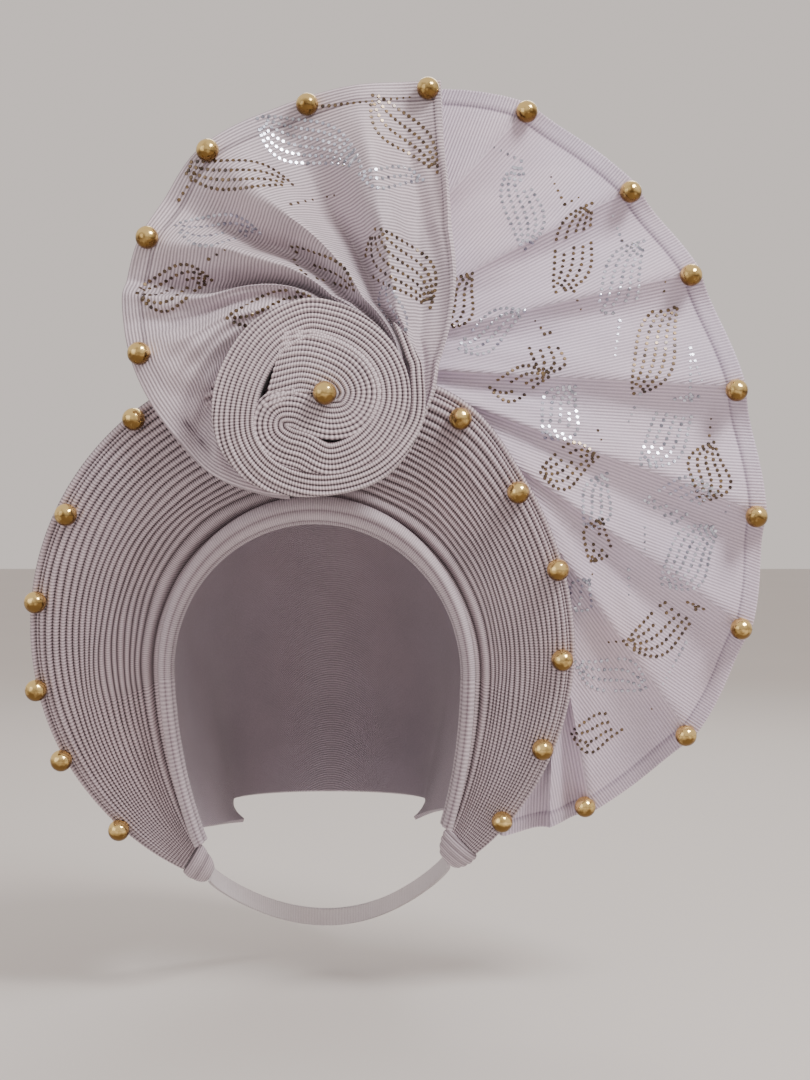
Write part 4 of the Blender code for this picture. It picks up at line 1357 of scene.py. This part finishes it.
@dataclass
class LeftFan:
    """Left fan, swirling out of the rosette, with a turned hem and a free edge on its right."""

    reach: float = 0.152
    root: float = 0.034
    fold: float = 0.0075
    slope: float = 0.16
    centre_across: float = 0.0038
    centre_height: float = 0.0105
    wall: float = 0.0014
    stops: tuple[float, ...] = (0.0, 0.15, 0.5, 1.0)
    between: int = 14
    inner_rows: int = 90
    rib_pitch: float = 0.0015
    crisp: float = 0.38
    deepen: float = 0.75
    # shade: how strongly painted shade darkens the low fold valleys
    shade: float = 0.45
    ripple: float = 0.0005
    waves: tuple[tuple[float, float, float, float], ...] = ((1.0, 1.7, 2.1, 0.0), (1.0, 0.9, -3.3, 0.3))
    side_hem: float = 0.6
    valley_from: float = 0.2
    valley_curve: float = 0.7
    back_steps: tuple[int, int] = (4, 4)
    flat: tuple[float, float] = (0.20, 0.115)
    hem: Hem = field(default_factory=lambda: Hem(tone=0.42, rise=0.0008))
    folds: np.ndarray = field(default_factory=lambda: np.array([
        # edge angle, edge reach share, middle angle, near angle, root angle, rise share
        (-163.0, 0.290, -158.0, -152.0, -146.0, -0.30),
        (-143.0, 0.325, -132.0, -115.0, -104.0, -0.10),
        (-125.0, 0.372, -108.0, -80.0, -62.0, 0.05),
        (-108.0, 0.412, -88.0, -50.0, -22.0, -0.75),
        (-92.0, 0.476, -74.0, -36.0, -4.0, 0.30),
        (-78.0, 0.548, -61.0, -20.0, 14.0, 0.75),
        (-69.0, 0.601, -54.0, -10.0, 26.0, 0.10),
        (-62.0, 0.640, -47.5, -1.0, 36.0, 0.60),
        (-58.0, 0.658, -42.5, 2.0, 44.0, -0.65),
        (-48.5, 0.697, -28.0, 6.0, 55.0, 0.85),
        (-38.0, 0.742, -20.0, 14.0, 65.0, -0.55),
        (-25.5, 0.812, -9.5, 22.0, 76.0, 1.00),
        (-9.0, 0.872, 3.0, 30.0, 88.0, -0.70),
        (6.0, 0.925, 16.0, 40.0, 102.0, 0.90),
        (14.0, 0.965, 27.0, 56.0, 120.0, -0.30),
        (20.0, 1.000, 36.5, 74.0, 138.0, 0.25),
    ]))

    def points(self, fold: np.ndarray, out: np.ndarray) -> np.ndarray:
        """Points of the fan before it is seated.

        Args:
            fold: Fold position of each column.
            out: Grid of shares from root to edge.

        Returns:
            A grid of points.
        """
        edge, reach, middle, near, root, rise = smooth_rows(self.folds, fold).T
        rise = rise + self.crisp * (np.interp(fold, range(len(self.folds)), self.folds[:, 5]) - rise)
        place = np.interp(out, self.stops, range(len(self.stops)))
        angle = np.radians(smooth_columns(np.array([root, near, middle, edge]), place))
        radius = self.root + (reach * self.reach - self.root) * out
        height = self.centre_height + radius * np.cos(angle)
        swell = np.sin(math.pi * np.minimum(1.0, 0.12 + out * 0.72))
        swell = swell * (1.0 + self.deepen * np.sin(math.pi * out))
        depth = self.slope * (height - self.centre_height) - FORM.forward_top - rise * self.fold * swell
        return stack(self.centre_across + radius * np.sin(angle), depth, height)

    def build(self, shop: Workshop) -> bpy.types.Object:
        """Build and dress the fan, seated where its solid is.

        Args:
            shop: The shared trees and materials.

        Returns:
            The finished fan.
        """
        last = len(self.folds) - 1
        plain = LeftFan(crisp=0.0, deepen=0.0)
        coarse = plain.points(np.linspace(0.0, last, 2 * last + 1), np.linspace(0.0, 1.0, 8)[:, None])
        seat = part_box("fan_left")[0][1] - coarse[..., 1].min()
        fold = np.linspace(0.0, last, last * self.between + 1)
        length = smooth_rows(self.folds, fold)[:, 1] * self.reach - self.root
        out = self.hem.outs(length, self.inner_rows)
        front = self.points(fold, out)
        wave = slow_waves(self.waves, fold, out)
        front[..., 1] += seat + self.ripple * wave * np.sin(math.pi * out)
        back = front - grid_normals(front) * self.wall
        distance = edge_distance(front)
        side = edge_distance(front.transpose(1, 0, 2)).T
        count, rise = self.hem.mark(np.minimum(distance, side + self.side_hem * self.hem.width))
        # painted shade: the fold count is lowered across the low folds, so the cloth paints them darker
        low = np.clip(self.valley_from - np.interp(fold, range(last + 1), self.folds[:, 5]), 0.0, 1.0)
        middle = np.sin(math.pi * np.clip(out, 0.0, 1.0))**self.valley_curve
        count = count * (1.0 - self.shade * low[None, :] * middle)
        piece = closed_sheet("left_fan", front, back, self.back_steps, distance / self.rib_pitch, count, rise)
        shop.dress(piece, LEFT_CLOTH, self.hem.rise, 0.0, 1.0)
        declare(piece, ("fan_left",))
        return piece


@dataclass
class RightFan:
    """Right fan of knife pleats from behind the halo, with a broad turned hem."""

    reach: float = 0.205
    fold: float = 0.0055
    slope: float = 0.10
    tuck: float = 0.0105
    centre_across: float = 0.0
    centre_height: float = 0.018
    wall: float = 0.0014
    inner_rows: int = 60
    rib_pitch: float = 0.0014
    ripple: float = 0.0005
    waves: tuple[tuple[float, float, float, float], ...] = ((1.0, 1.3, 1.7, 0.0), (1.0, 2.1, -2.6, 0.4))
    gather: float = 0.0012
    gathered_share: float = 0.14
    flat_root: float = 0.02
    root_rise: float = 0.15
    back_steps: tuple[int, int] = (4, 3)
    root_shade: float = 0.70
    packed_knife: tuple[tuple[float, float], ...] = ((0.0, 1.0), (0.16, -1.0), (0.55, 0.05))
    packed_rows: int = 6
    flat: tuple[float, float] = (0.30, 0.17)
    hem: Hem = field(default_factory=Hem)
    creases: np.ndarray = field(default_factory=lambda: np.array([
        # edge angle, edge reach share, root angle, root radius share
        (15.0, 0.700, -1.1, 1.080),
        (36.7, 0.788, 0.8, 1.067),
        (57.5, 0.836, 1.8, 1.058),
        (72.9, 0.879, 2.6, 1.045),
        (89.9, 0.937, 3.2, 1.028),
        (105.6, 1.028, 16.7, 1.043),
        (118.8, 1.105, 35.0, 1.000),
        (132.6, 1.156, 57.4, 1.000),
        (146.8, 1.148, 72.0, 1.000),
        (152.0, 1.126, 105.0, 1.050),
        (157.6, 1.096, 134.0, 1.110),
    ]))
    knife: np.ndarray = field(default_factory=lambda: np.array([
        # panel share, rise share
        (0.00, 1.00),
        (0.02, 0.78),
        (0.06, 0.36),
        (0.11, -0.10),
        (0.17, -0.52),
        (0.24, -0.82),
        (0.32, -0.92),
        (0.42, -0.76),
        (0.54, -0.38),
        (0.67, 0.06),
        (0.80, 0.48),
        (0.91, 0.80),
    ]))

    def ends(self, crease: np.ndarray) -> tuple[np.ndarray, np.ndarray]:
        """Root and edge of each crease.

        Args:
            crease: Crease positions, counted from 0.

        Returns:
            The roots and the edges, each as across and height.
        """
        edge, reach, root, root_reach = smooth_rows(self.creases, crease).T
        outer = np.stack([self.centre_across + reach * self.reach * np.sin(np.radians(edge)),
                          self.centre_height + reach * self.reach * np.cos(np.radians(edge))], axis=-1)
        radius = root_reach * (FORM.halo_radius - self.tuck)
        inner = np.stack([FORM.halo_across + radius * np.sin(np.radians(root)),
                          -FORM.halo_drop + radius * np.cos(np.radians(root))], axis=-1)
        return inner, outer

    def points(self, crease: np.ndarray, rise: np.ndarray, out: np.ndarray) -> np.ndarray:
        """Points of the fan before it is seated.

        Args:
            crease: Crease position of each column.
            rise: Rise share of each column.
            out: Grid of shares from root to edge.

        Returns:
            A grid of points.
        """
        inner, outer = self.ends(crease)
        flat = inner + (outer - inner) * out[..., None]
        length = np.linalg.norm(outer - inner, axis=-1)
        forward = rise * self.fold * (self.root_rise + (1.0 - self.root_rise) * out)
        depth = FORM.lean(flat[..., 1]) + self.slope * length * out - forward
        return stack(flat[..., 0], depth, flat[..., 1])

    def build(self, shop: Workshop) -> bpy.types.Object:
        """Build and dress the fan, seated where its solid is.

        Args:
            shop: The shared trees and materials.

        Returns:
            The finished fan.
        """
        panels = len(self.creases) - 1
        rough = np.array([k + share for k in range(panels) for share, _ in self.packed_knife] + [panels])
        rough_rise = np.array([rise for _, rise in self.packed_knife] * panels + [0.0])
        coarse = self.points(rough, rough_rise, np.linspace(0.0, 1.0, self.packed_rows)[:, None])
        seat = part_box("fan_right")[0][1] - coarse[..., 1].min()
        crease = np.array([k + share for k in range(panels) for share in self.knife[:, 0]] + [panels])
        rise = np.array(list(self.knife[:, 1]) * panels + [0.0])
        inner, outer = self.ends(crease)
        out = self.hem.outs(np.linalg.norm(outer - inner, axis=-1), self.inner_rows)
        front = self.points(crease, rise, out)
        wave = slow_waves(self.waves, crease, out)
        bunched = np.exp(-out / self.gathered_share) * np.clip(out / self.flat_root, 0.0, 1.0)
        tucks = self.gather * bunched * (np.sin(6 * math.pi * crease) + 1.0)
        front[..., 1] += seat + self.ripple * wave * np.sin(math.pi * out) + tucks
        back = front - grid_normals(front) * self.wall
        count, lifted = self.hem.mark(edge_distance(front))
        # painted shade: the panels darken towards their roots, where they go behind the halo
        count = count * (1.0 - self.root_shade * np.exp(-out / self.gathered_share))
        start, end = self.panel_ribs(front, crease)
        piece = closed_sheet("right_fan", front, back, self.back_steps, start, count, lifted, end)
        shop.dress(piece, RIGHT_CLOTH, self.hem.rise, 0.0, 1.0)
        declare(piece, ("fan_right",))
        return piece

    def panel_ribs(self, front: np.ndarray, crease: np.ndarray) -> tuple[np.ndarray, np.ndarray]:
        """Rib counts, which start anew at each crease and run along it.

        Args:
            front: Grid of points.
            crease: Crease position of each column.

        Returns:
            The counts seen from the panel on the right and from the panel on the left of each point.
        """
        counts = []
        for panel in (np.floor(crease), np.ceil(crease) - 1.0):
            panel = np.clip(panel, 0, len(self.creases) - 2)
            inner, outer = self.ends(panel)
            run = (outer - inner) / np.linalg.norm(outer - inner, axis=-1, keepdims=True)
            apart = front[..., [0, 2]] - inner
            counts.append((apart[..., 0] * run[:, 1] - apart[..., 1] * run[:, 0]) / self.rib_pitch)
        return counts[0], counts[1]


@dataclass
class Binding:
    """Cloth wound round the end of the halo."""

    name: str
    node: str
    turn: float
    onwards: float
    length: float = 0.0135
    thick: float = 0.0070
    overhang: float = 0.0014
    sides: int = 72
    rings: int = 40
    winds: float = 4.0
    slant: float = 1.0
    ridge: float = 0.0007
    ridge_curve: float = 0.6
    rounded_rows: float = 0.12
    rounding: float = 0.12
    rib_pitch: float = 0.0012
    section: np.ndarray = field(default_factory=lambda: np.array([
        # length share, width share, thickness share, backwards share of the length
        (0.00, 1.00, 0.80, 0.00),
        (0.35, 0.95, 1.00, 0.00),
        (0.75, 0.75, 0.90, 0.12),
        (1.00, 0.50, 0.70, 0.25),
    ]))

    def frame(self) -> tuple[np.ndarray, np.ndarray, np.ndarray, np.ndarray]:
        """Place and ways of the halo's end.

        Returns:
            Its middle, the way onwards along the halo, its width from edge to edge and the way forwards.
        """
        spots = FORM.halo(np.full(3, self.turn), np.array([0.0, 1.0, 0.5]))
        before = FORM.halo(np.array([self.turn - self.onwards * 0.01]), np.array([0.5]))[0]
        run = spots[2] - before
        run /= np.linalg.norm(run)
        wide = spots[1] - spots[0]
        forward = np.cross(wide, run)
        return (spots[0] + spots[1]) / 2, run, wide, forward / np.linalg.norm(forward)

    def tip(self) -> np.ndarray:
        """Middle of the binding's far end.

        Returns:
            The point.
        """
        middle, run, _, _ = self.frame()
        back = self.section[-1, 3] * self.length
        return middle + run * (FORM.seat_gap + self.length) + np.array([0.0, back, 0.0])

    def build(self, shop: Workshop) -> bpy.types.Object:
        """Build and dress the binding.

        Args:
            shop: The shared trees and materials.

        Returns:
            The finished binding.
        """
        middle, run, wide, forward = self.frame()
        span = np.linalg.norm(wide)
        place = np.linspace(0.0, len(self.section) - 1, self.rings)
        rows = smooth_rows(self.section, place)
        edge = np.clip(np.minimum(place, place[::-1]) / self.rounded_rows, 0.0, 1.0)
        rounding = 1.0 - self.rounding * (1.0 - edge)**2
        angle = np.linspace(0.0, 2 * math.pi, self.sides, endpoint=False)
        winding = rows[:, :1] * self.winds + self.slant * angle[None, :] / (2 * math.pi)
        sunk = self.ridge * (1.0 - np.abs(np.sin(math.pi * winding))**self.ridge_curve)
        centre = middle + run * (FORM.seat_gap + self.length * rows[:, :1])
        centre = centre + np.array([0.0, self.length, 0.0]) * rows[:, 3:]
        half = (span / 2 + self.overhang) * rows[:, 1:2] * rounding[:, None] - sunk
        deep = self.thick / 2 * rows[:, 2:3] * rounding[:, None] - sunk
        grid = (centre[:, None, :] + (wide / span) * (half * np.cos(angle))[..., None]
                + forward * (deep * np.sin(angle))[..., None])
        piece = closed_tube(self.name, grid, winding * self.length / self.winds / self.rib_pitch, winding)
        shop.dress(piece, BINDING_CLOTH, 0.0, 0.0)
        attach(piece, BODY)
        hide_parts(self.node)
        LOG.info("%s: %d faces", piece.name, len(piece.data.polygons))
        return piece


def closed_tube(name: str, grid: np.ndarray, rib: np.ndarray, pleat: np.ndarray) -> bpy.types.Object:
    """Make a closed tube from rings of points.

    Args:
        name: The piece's name.
        grid: One row of points for each ring.
        rib: Rib count at each point.
        pleat: Fold count at each point.

    Returns:
        The new object, with the counts as its UV map.
    """
    rings, sides = grid.shape[:2]
    index = np.arange(rings * sides).reshape(rings, sides)
    onwards = np.roll(index, -1, axis=1)
    quads = np.stack([index[:-1], onwards[:-1], onwards[1:], index[1:]], axis=-1).reshape(-1, 4)
    ends = [index[0][::-1].tolist(), index[-1].tolist()]
    mesh = bpy.data.meshes.new(name)
    mesh.from_pydata(grid.reshape(-1, 3).tolist(), [], quads.tolist() + ends)
    corners = np.empty(len(mesh.loops), dtype=int)
    mesh.loops.foreach_get("vertex_index", corners)
    pairs = np.stack([rib.ravel()[corners], pleat.ravel()[corners]], axis=-1)
    mesh.uv_layers.new(name=UV_NAME).data.foreach_set("uv", pairs.ravel())
    shape = bmesh.new()
    shape.from_mesh(mesh)
    bmesh.ops.recalc_face_normals(shape, faces=shape.faces)
    shape.to_mesh(mesh)
    shape.free()
    mesh.shade_smooth()
    mesh.set_sharp_from_angle(angle=math.radians(TUBE_SHARP_DEG))
    return add_object(name, mesh)


@dataclass
class NapeStrap:
    """Flat strap from binding to binding behind the neck."""

    height: float = 0.0085
    dip: float = 0.040
    back_reach: float = 0.068
    roundness: float = 0.75
    wall: float = 0.0016
    stations: int = 201
    rows: int = 13
    curl: float = 0.0006
    dark_edge_share: float = 0.10
    rib_pitch: float = 0.0016
    flat: tuple[float, float] = (0.22, 0.0105)

    def build(self, shop: Workshop, left: Binding, right: Binding) -> bpy.types.Object:
        """Build and dress the strap.

        Args:
            shop: The shared trees and materials.
            left: The left binding.
            right: The right binding.

        Returns:
            The finished strap.
        """
        share = np.linspace(0.0, 1.0, self.stations)
        swing = np.maximum(np.sin(math.pi * share), 0.0)**self.roundness
        clear = left.section[-1, 2] * left.thick / 2 + FORM.seat_gap
        spots = left.tip() + (right.tip() - left.tip()) * share[:, None]
        spots = spots + np.stack([0.0 * share, clear + self.back_reach * swing, -self.dip * swing], axis=-1)
        rise = np.linspace(-0.5, 0.5, self.rows)[:, None]
        bow = self.curl * np.cos(math.pi * rise)
        front = spots[None] + stack(0.0 * share[None, :], bow, rise * self.height)
        back = front - grid_normals(front) * self.wall
        rib = travel_along(spots)[None, :] / self.rib_pitch
        # the strap's top and bottom edges are drawn darker: the fold count falls to 0 there, where the cloth
        # paints its valley shade
        hem = 0.5 * np.clip((0.5 - np.abs(rise)) / self.dark_edge_share, 0.0, 1.0)
        piece = closed_sheet("nape_strap_cloth", front, back, (1, 1), rib, hem, np.array([[0.0]]))
        shop.dress(piece, STRAP_CLOTH, 0.0, 0.0)
        declare(piece, ("nape_strap",))
        return piece


def points_object(name: str, places: np.ndarray, facings: np.ndarray, sizes: np.ndarray) -> bpy.types.Object:
    """Make an object of loose points that carry a facing and a size.

    Args:
        name: The piece's name.
        places: Points.
        facings: The way that each point faces.
        sizes: The size share of each point.

    Returns:
        The new object.
    """
    mesh = bpy.data.meshes.new(name)
    mesh.from_pydata(places.tolist(), [], [])
    ways = mesh.attributes.new("facing", "FLOAT_VECTOR", "POINT")
    ways.data.foreach_set("vector", facings.astype(float).ravel())
    mesh.attributes.new("size", "FLOAT", "POINT").data.foreach_set("value", sizes.astype(float))
    return add_object(name, mesh)


@dataclass
class Beads:
    """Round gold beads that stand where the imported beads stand."""

    radius: float = 0.0050
    groups: dict[str, tuple[str, ...]] = field(default_factory=lambda: {
        "beads_on_halo": ("bead_halo_left_", "bead_halo_right_"),
        "beads_on_left_fan": ("bead_fan_left_",),
        "beads_on_right_fan": ("bead_fan_right_",),
        "bead_in_rosette": ("bead_rosette",),
    })

    def centre(self, node: str) -> tuple[np.ndarray, np.ndarray]:
        """Centre of the ball that fits a packed bead's corners, and the way that the bead faces.

        Args:
            node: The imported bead's name.

        Returns:
            The centre and a unit vector.
        """
        corners = np.array([corner.co[:] for corner in bpy.data.objects[node].data.vertices])
        known = np.column_stack([2.0 * corners, np.ones(len(corners))])
        middle = np.linalg.lstsq(known, (corners**2).sum(axis=1), rcond=None)[0][:3]
        facing = corners.mean(axis=0) - middle
        return middle, facing / np.linalg.norm(facing)

    def build(self, shop: Workshop) -> list[bpy.types.Object]:
        """Build and dress the beads.

        Args:
            shop: The shared trees and materials; not used.

        Returns:
            One piece for each group.
        """
        tree = scatter_tree("beads_on_points", SmallShape.BEAD)
        gold = GOLD.build()
        made = []
        for name, starts in self.groups.items():
            nodes = sorted(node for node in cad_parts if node.startswith(starts))
            places, facings = zip(*(self.centre(node) for node in nodes))
            piece = points_object(name, np.array(places), np.array(facings), np.ones(len(nodes)))
            apply_tree(piece, tree, {"Radius": self.radius, "Material": gold})
            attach(piece, BODY)
            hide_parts(*nodes)
            LOG.info("%s: %d beads", name, len(nodes))
            made.append(piece)
        return made


@dataclass
class StoneMotifs:
    """Leaf motifs of small cut stones, set on a fan as they are seen from the front.

    The tables, spacing and row_pitch are in millimetres on an upright chart in front of the fan.
    """

    name: str
    leaves: tuple[tuple[float, float, float, float, float, StoneKind], ...]
    tails: tuple[tuple[float, float, float, float, StoneKind], ...]
    stone: float = 0.00100
    spacing: float = 2.6
    row_pitch: float = 3.4
    bend: float = 0.13
    inner_start: float = 0.09
    eye: tuple[float, float, float] = EYE
    chart_depth: float = -0.080
    sunk: float = 0.0002
    least_cloth: float = 0.62
    least_facing: float = 0.25
    tail_taper: float = 0.4

    def leaf(self, length: float, width: float) -> list[tuple[float, float]]:
        """Stones of one leaf, in rows that follow its outline.

        Args:
            length: Length of the leaf.
            width: Width of the leaf.

        Returns:
            Across and up of each stone.
        """
        stones: list[tuple[float, float]] = []
        t = np.linspace(0.0, 1.0, 400)
        up = (t - 0.5) * length
        half = 0.5 * width * np.sin(math.pi * t**0.85)**0.85
        swing = self.bend * width * np.sin(2 * math.pi * t)
        count = max(3, round(width / self.row_pitch))
        for side in np.linspace(-1.0, 1.0, count):
            across = side * half + swing
            travel = travel_along(np.stack([across, up], axis=-1))
            ends = 0.0 if side == -1.0 else self.inner_start
            steps = max(2, round(travel[-1] * (1.0 - 2 * ends) / self.spacing))
            for d in np.linspace(travel[-1] * ends, travel[-1] * (1.0 - ends), steps + 1):
                stones.append((float(np.interp(d, travel, across)), float(np.interp(d, travel, up))))
        return stones

    def chart(self, kind: StoneKind) -> np.ndarray:
        """Every stone of one kind on the chart.

        Args:
            kind: The kind of stone.

        Returns:
            One row of across, up and size share for each stone.
        """
        rows = []
        for across, up, length, width, lean, which in self.leaves:
            if which is not kind:
                continue
            turn = math.radians(lean)
            for x, y in self.leaf(length, width):
                rows.append((across + x * math.cos(turn) + y * math.sin(turn),
                             up - x * math.sin(turn) + y * math.cos(turn), 1.0))
        for x0, y0, x1, y1, which in self.tails:
            if which is not kind:
                continue
            count = max(2, round(math.hypot(x1 - x0, y1 - y0) / self.spacing))
            for share in np.linspace(0.0, 1.0, count):
                rows.append((x0 + (x1 - x0) * share, y0 + (y1 - y0) * share, 1.0 - self.tail_taper * share))
        return np.array(rows)

    def too_thin(self, ground: BVHTree, hit: Vector, normal: Vector) -> bool:
        """Whether a stone would come through the cloth behind it.

        Args:
            ground: The fan's surface.
            hit: The stone's place on it.
            normal: The way that the fan faces there.

        Returns:
            True where the cloth is thinner than the stone needs.
        """
        behind = ground.ray_cast(hit - normal * self.sunk / 2, -normal)[3]
        return behind is not None and behind < self.least_cloth * self.stone

    def build(self, carrier: bpy.types.Object, tree: bpy.types.NodeTree) -> list[bpy.types.Object]:
        """Set the stones on their fan.

        Args:
            carrier: The fan.
            tree: Geometry nodes that set a stone on every point.

        Returns:
            One piece for each kind of stone.
        """
        corners = [corner.co for corner in carrier.data.vertices]
        ground = BVHTree.FromPolygons(corners, [face.vertices for face in carrier.data.polygons])
        eye = Vector(self.eye)
        made = []
        for kind, finish in STONES.items():
            places, facings, sizes = [], [], []
            for across, up, size in self.chart(kind):
                aim = Vector((across * MILLIMETRE, self.chart_depth, up * MILLIMETRE))
                hit, normal = ground.ray_cast(eye, (aim - eye).normalized())[:2]
                if hit is None or normal.y > -self.least_facing or self.too_thin(ground, hit, normal):
                    continue
                places.append(hit - normal * self.sunk)
                facings.append(normal)
                sizes.append(size)
            name = f"{self.name}_{finish.name}"
            piece = points_object(name, np.array(places), np.array(facings), np.array(sizes))
            apply_tree(piece, tree, {"Radius": self.stone, "Material": finish.build()})
            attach(piece, BODY)
            LOG.info("%s: %d stones", piece.name, len(places))
            made.append(piece)
        return made


@dataclass(frozen=True)
class Lamp:
    """Soft square lamp: where it stands, its side length, its power in watts and its colour."""

    name: str
    place: tuple[float, float, float]
    side: float
    power: float
    colour: tuple[float, float, float]

    def build(self, aim: tuple[float, float, float]) -> None:
        """Add the lamp.

        Args:
            aim: The spot that it points at.
        """
        data = bpy.data.lights.new(self.name, "AREA")
        data.size = self.side
        data.energy = self.power
        data.color = self.colour
        lamp = add_object(self.name, data)
        lamp.location = self.place
        lamp.rotation_euler = (Vector(aim) - Vector(self.place)).to_track_quat("-Z", "Y").to_euler()


@dataclass
class Studio:
    """Pale floor, soft lights and the camera at the picture's viewing angle."""

    eye: tuple[float, float, float] = EYE
    lens: float = 55.56
    sensor_height: float = 36.0
    floor_gap: float = 0.02
    floor_reach: float = 12.0
    aim: tuple[float, float, float] = (0.03, 0.0, -0.03)
    room_colour: tuple[float, float, float] = (0.92, 0.835, 0.785)
    room_strength: float = 0.85
    lamps: tuple[Lamp, ...] = (
        Lamp("key", (0.72, -0.72, 0.95), 0.40, 19.0, (1.0, 0.98, 0.96)),
        Lamp("fill", (-1.0, -0.9, 0.25), 0.9, 2.5, (0.97, 0.97, 1.0)),
        Lamp("back", (0.2, 1.1, 0.8), 0.8, 5.0, (1.0, 1.0, 1.0)),
    )

    def build(self) -> None:
        """Set up the floor, the lamps, the surroundings and the camera."""
        self.build_floor()
        for lamp in self.lamps:
            lamp.build(self.aim)
        world = bpy.data.worlds.new("pale_room")
        world.use_nodes = True
        shader = world.node_tree.nodes["Background"]
        shader.inputs["Color"].default_value = (*self.room_colour, 1.0)
        shader.inputs["Strength"].default_value = self.room_strength
        bpy.context.scene.world = world
        data = bpy.data.cameras.new("camera")
        data.sensor_fit = "VERTICAL"
        data.sensor_height = self.sensor_height
        data.lens = self.lens
        camera = add_object("camera", data)
        camera.location = self.eye
        camera.rotation_euler = (math.pi / 2, 0.0, 0.0)
        bpy.context.scene.camera = camera

    def build_floor(self) -> None:
        """Lay the floor a little below the lowest piece."""
        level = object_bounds()[0][2] - self.floor_gap
        mesh = bpy.data.meshes.new("floor")
        signs = ((-1, -1), (1, -1), (1, 1), (-1, 1))
        mesh.from_pydata([(x * self.floor_reach, y * self.floor_reach, level) for x, y in signs], [],
                         [(0, 1, 2, 3)])
        mesh.materials.append(MattePaint().build())
        add_object("floor", mesh)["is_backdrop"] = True


CLEAR, TOPAZ = StoneKind.CLEAR, StoneKind.TOPAZ

# Leaves on the right fan, in millimetres: across, up, length, width, lean in degrees, kind of stone
RIGHT_LEAVES = (
    (91, 97, 39, 16, -5, CLEAR),
    (114, 78, 42, 17, 22, TOPAZ),
    (135, 64, 39, 17, 30, CLEAR),
    (64, 55, 26, 13, 25, TOPAZ),
    (78, 42, 33, 13, 60, CLEAR),
    (102, 32, 18, 15, 10, TOPAZ),
    (90, 19, 26, 13, 80, TOPAZ),
    (150, 35, 46, 18, 25, TOPAZ),
    (108, 6, 26, 18, 30, CLEAR),
    (156, -2, 39, 18, 40, CLEAR),
    (112, -17, 26, 17, 75, TOPAZ),
    (124, -33, 26, 13, 20, CLEAR),
    (173, -20, 26, 18, 10, TOPAZ),
    (160, -32, 33, 17, 80, CLEAR),
    (165, -57, 35, 20, 45, CLEAR),
    (124, -50, 19, 12, 15, TOPAZ),
    (117, -74, 15, 11, 30, CLEAR),
    (154, -88, 37, 18, 65, TOPAZ),
    (130, -109, 33, 15, -70, CLEAR),
    (124, -134, 22, 15, 85, TOPAZ),
)

# Tails on the right fan, in millimetres: from across, from up, to across, to up, kind of stone
RIGHT_TAILS = (
    (91, 116, 79, 122, CLEAR),
    (110, 97, 104, 109, TOPAZ),
    (110, 97, 116, 100, TOPAZ),
    (114, 59, 117, 51, TOPAZ),
    (135, 81, 131, 92, CLEAR),
    (134, 46, 132, 31, CLEAR),
    (102, 40, 97, 46, TOPAZ),
    (153, 55, 154, 63, TOPAZ),
    (143, 14, 138, 2, CLEAR),
    (123, 2, 126, -6, TOPAZ),
    (165, 14, 165, 34, CLEAR),
    (165, 34, 170, 20, CLEAR),
    (173, -8, 174, 3, TOPAZ),
    (145, -35, 145, -54, CLEAR),
    (176, -46, 182, -35, CLEAR),
    (123, -59, 122, -65, TOPAZ),
    (138, -63, 138, -74, CLEAR),
    (139, -94, 126, -95, TOPAZ),
    (163, -95, 153, -113, CLEAR),
    (120, -140, 119, -143, TOPAZ),
    (143, -125, 148, -124, TOPAZ),
)

# Leaves on the left fan, in millimetres: across, up, length, width, lean in degrees, kind of stone
LEFT_LEAVES = (
    (-34, 110, 50, 13, 100, TOPAZ),
    (-2, 124, 50, 20, 115, CLEAR),
    (40, 128, 44, 15, 140, TOPAZ),
    (34, 109, 28, 9, 95, CLEAR),
    (39, 69, 42, 22, 145, TOPAZ),
    (-42, 86, 37, 13, 95, CLEAR),
    (-61, 61, 33, 17, 80, TOPAZ),
    (4, 69, 33, 11, 125, TOPAZ),
    (-20, 52, 37, 11, 75, TOPAZ),
    (35, 50, 26, 9, 165, CLEAR),
)

# Tails on the left fan, in millimetres: from across, from up, to across, to up, kind of stone
LEFT_TAILS = (
    (-10, 97, 9, 101, TOPAZ),
    (-46, 73, -39, 77, TOPAZ),
    (4, 140, 42, 144, TOPAZ),
    (-59, 99, -50, 113, TOPAZ),
)


def main() -> None:
    """Build and dress every piece in order."""
    logging.basicConfig(level=logging.INFO, format="%(message)s")
    shop = Workshop(relief_tree(), {})
    cap = HeadCap()
    cap.build_cap(shop)
    FaceBand().build(shop)
    Halo().build(shop)
    cap.build_wrap(shop)
    right_fan = RightFan().build(shop)
    left_fan = LeftFan().build(shop)
    Rosette().build(shop)
    left = Binding("left_binding", "binding_left", 0.0, -1.0, winds=2.0, slant=0.0, ridge=0.0004)
    right = Binding("right_binding", "binding_right", 1.0, 1.0)
    left.build(shop)
    right.build(shop)
    NapeStrap().build(shop, left, right)
    Beads().build(shop)
    stones = scatter_tree("stones_on_points", SmallShape.STONE)
    StoneMotifs("right_fan", RIGHT_LEAVES, RIGHT_TAILS).build(right_fan, stones)
    StoneMotifs("left_fan", LEFT_LEAVES, LEFT_TAILS).build(left_fan, stones)
    Studio().build()


if __name__ == "__main__":
    main()
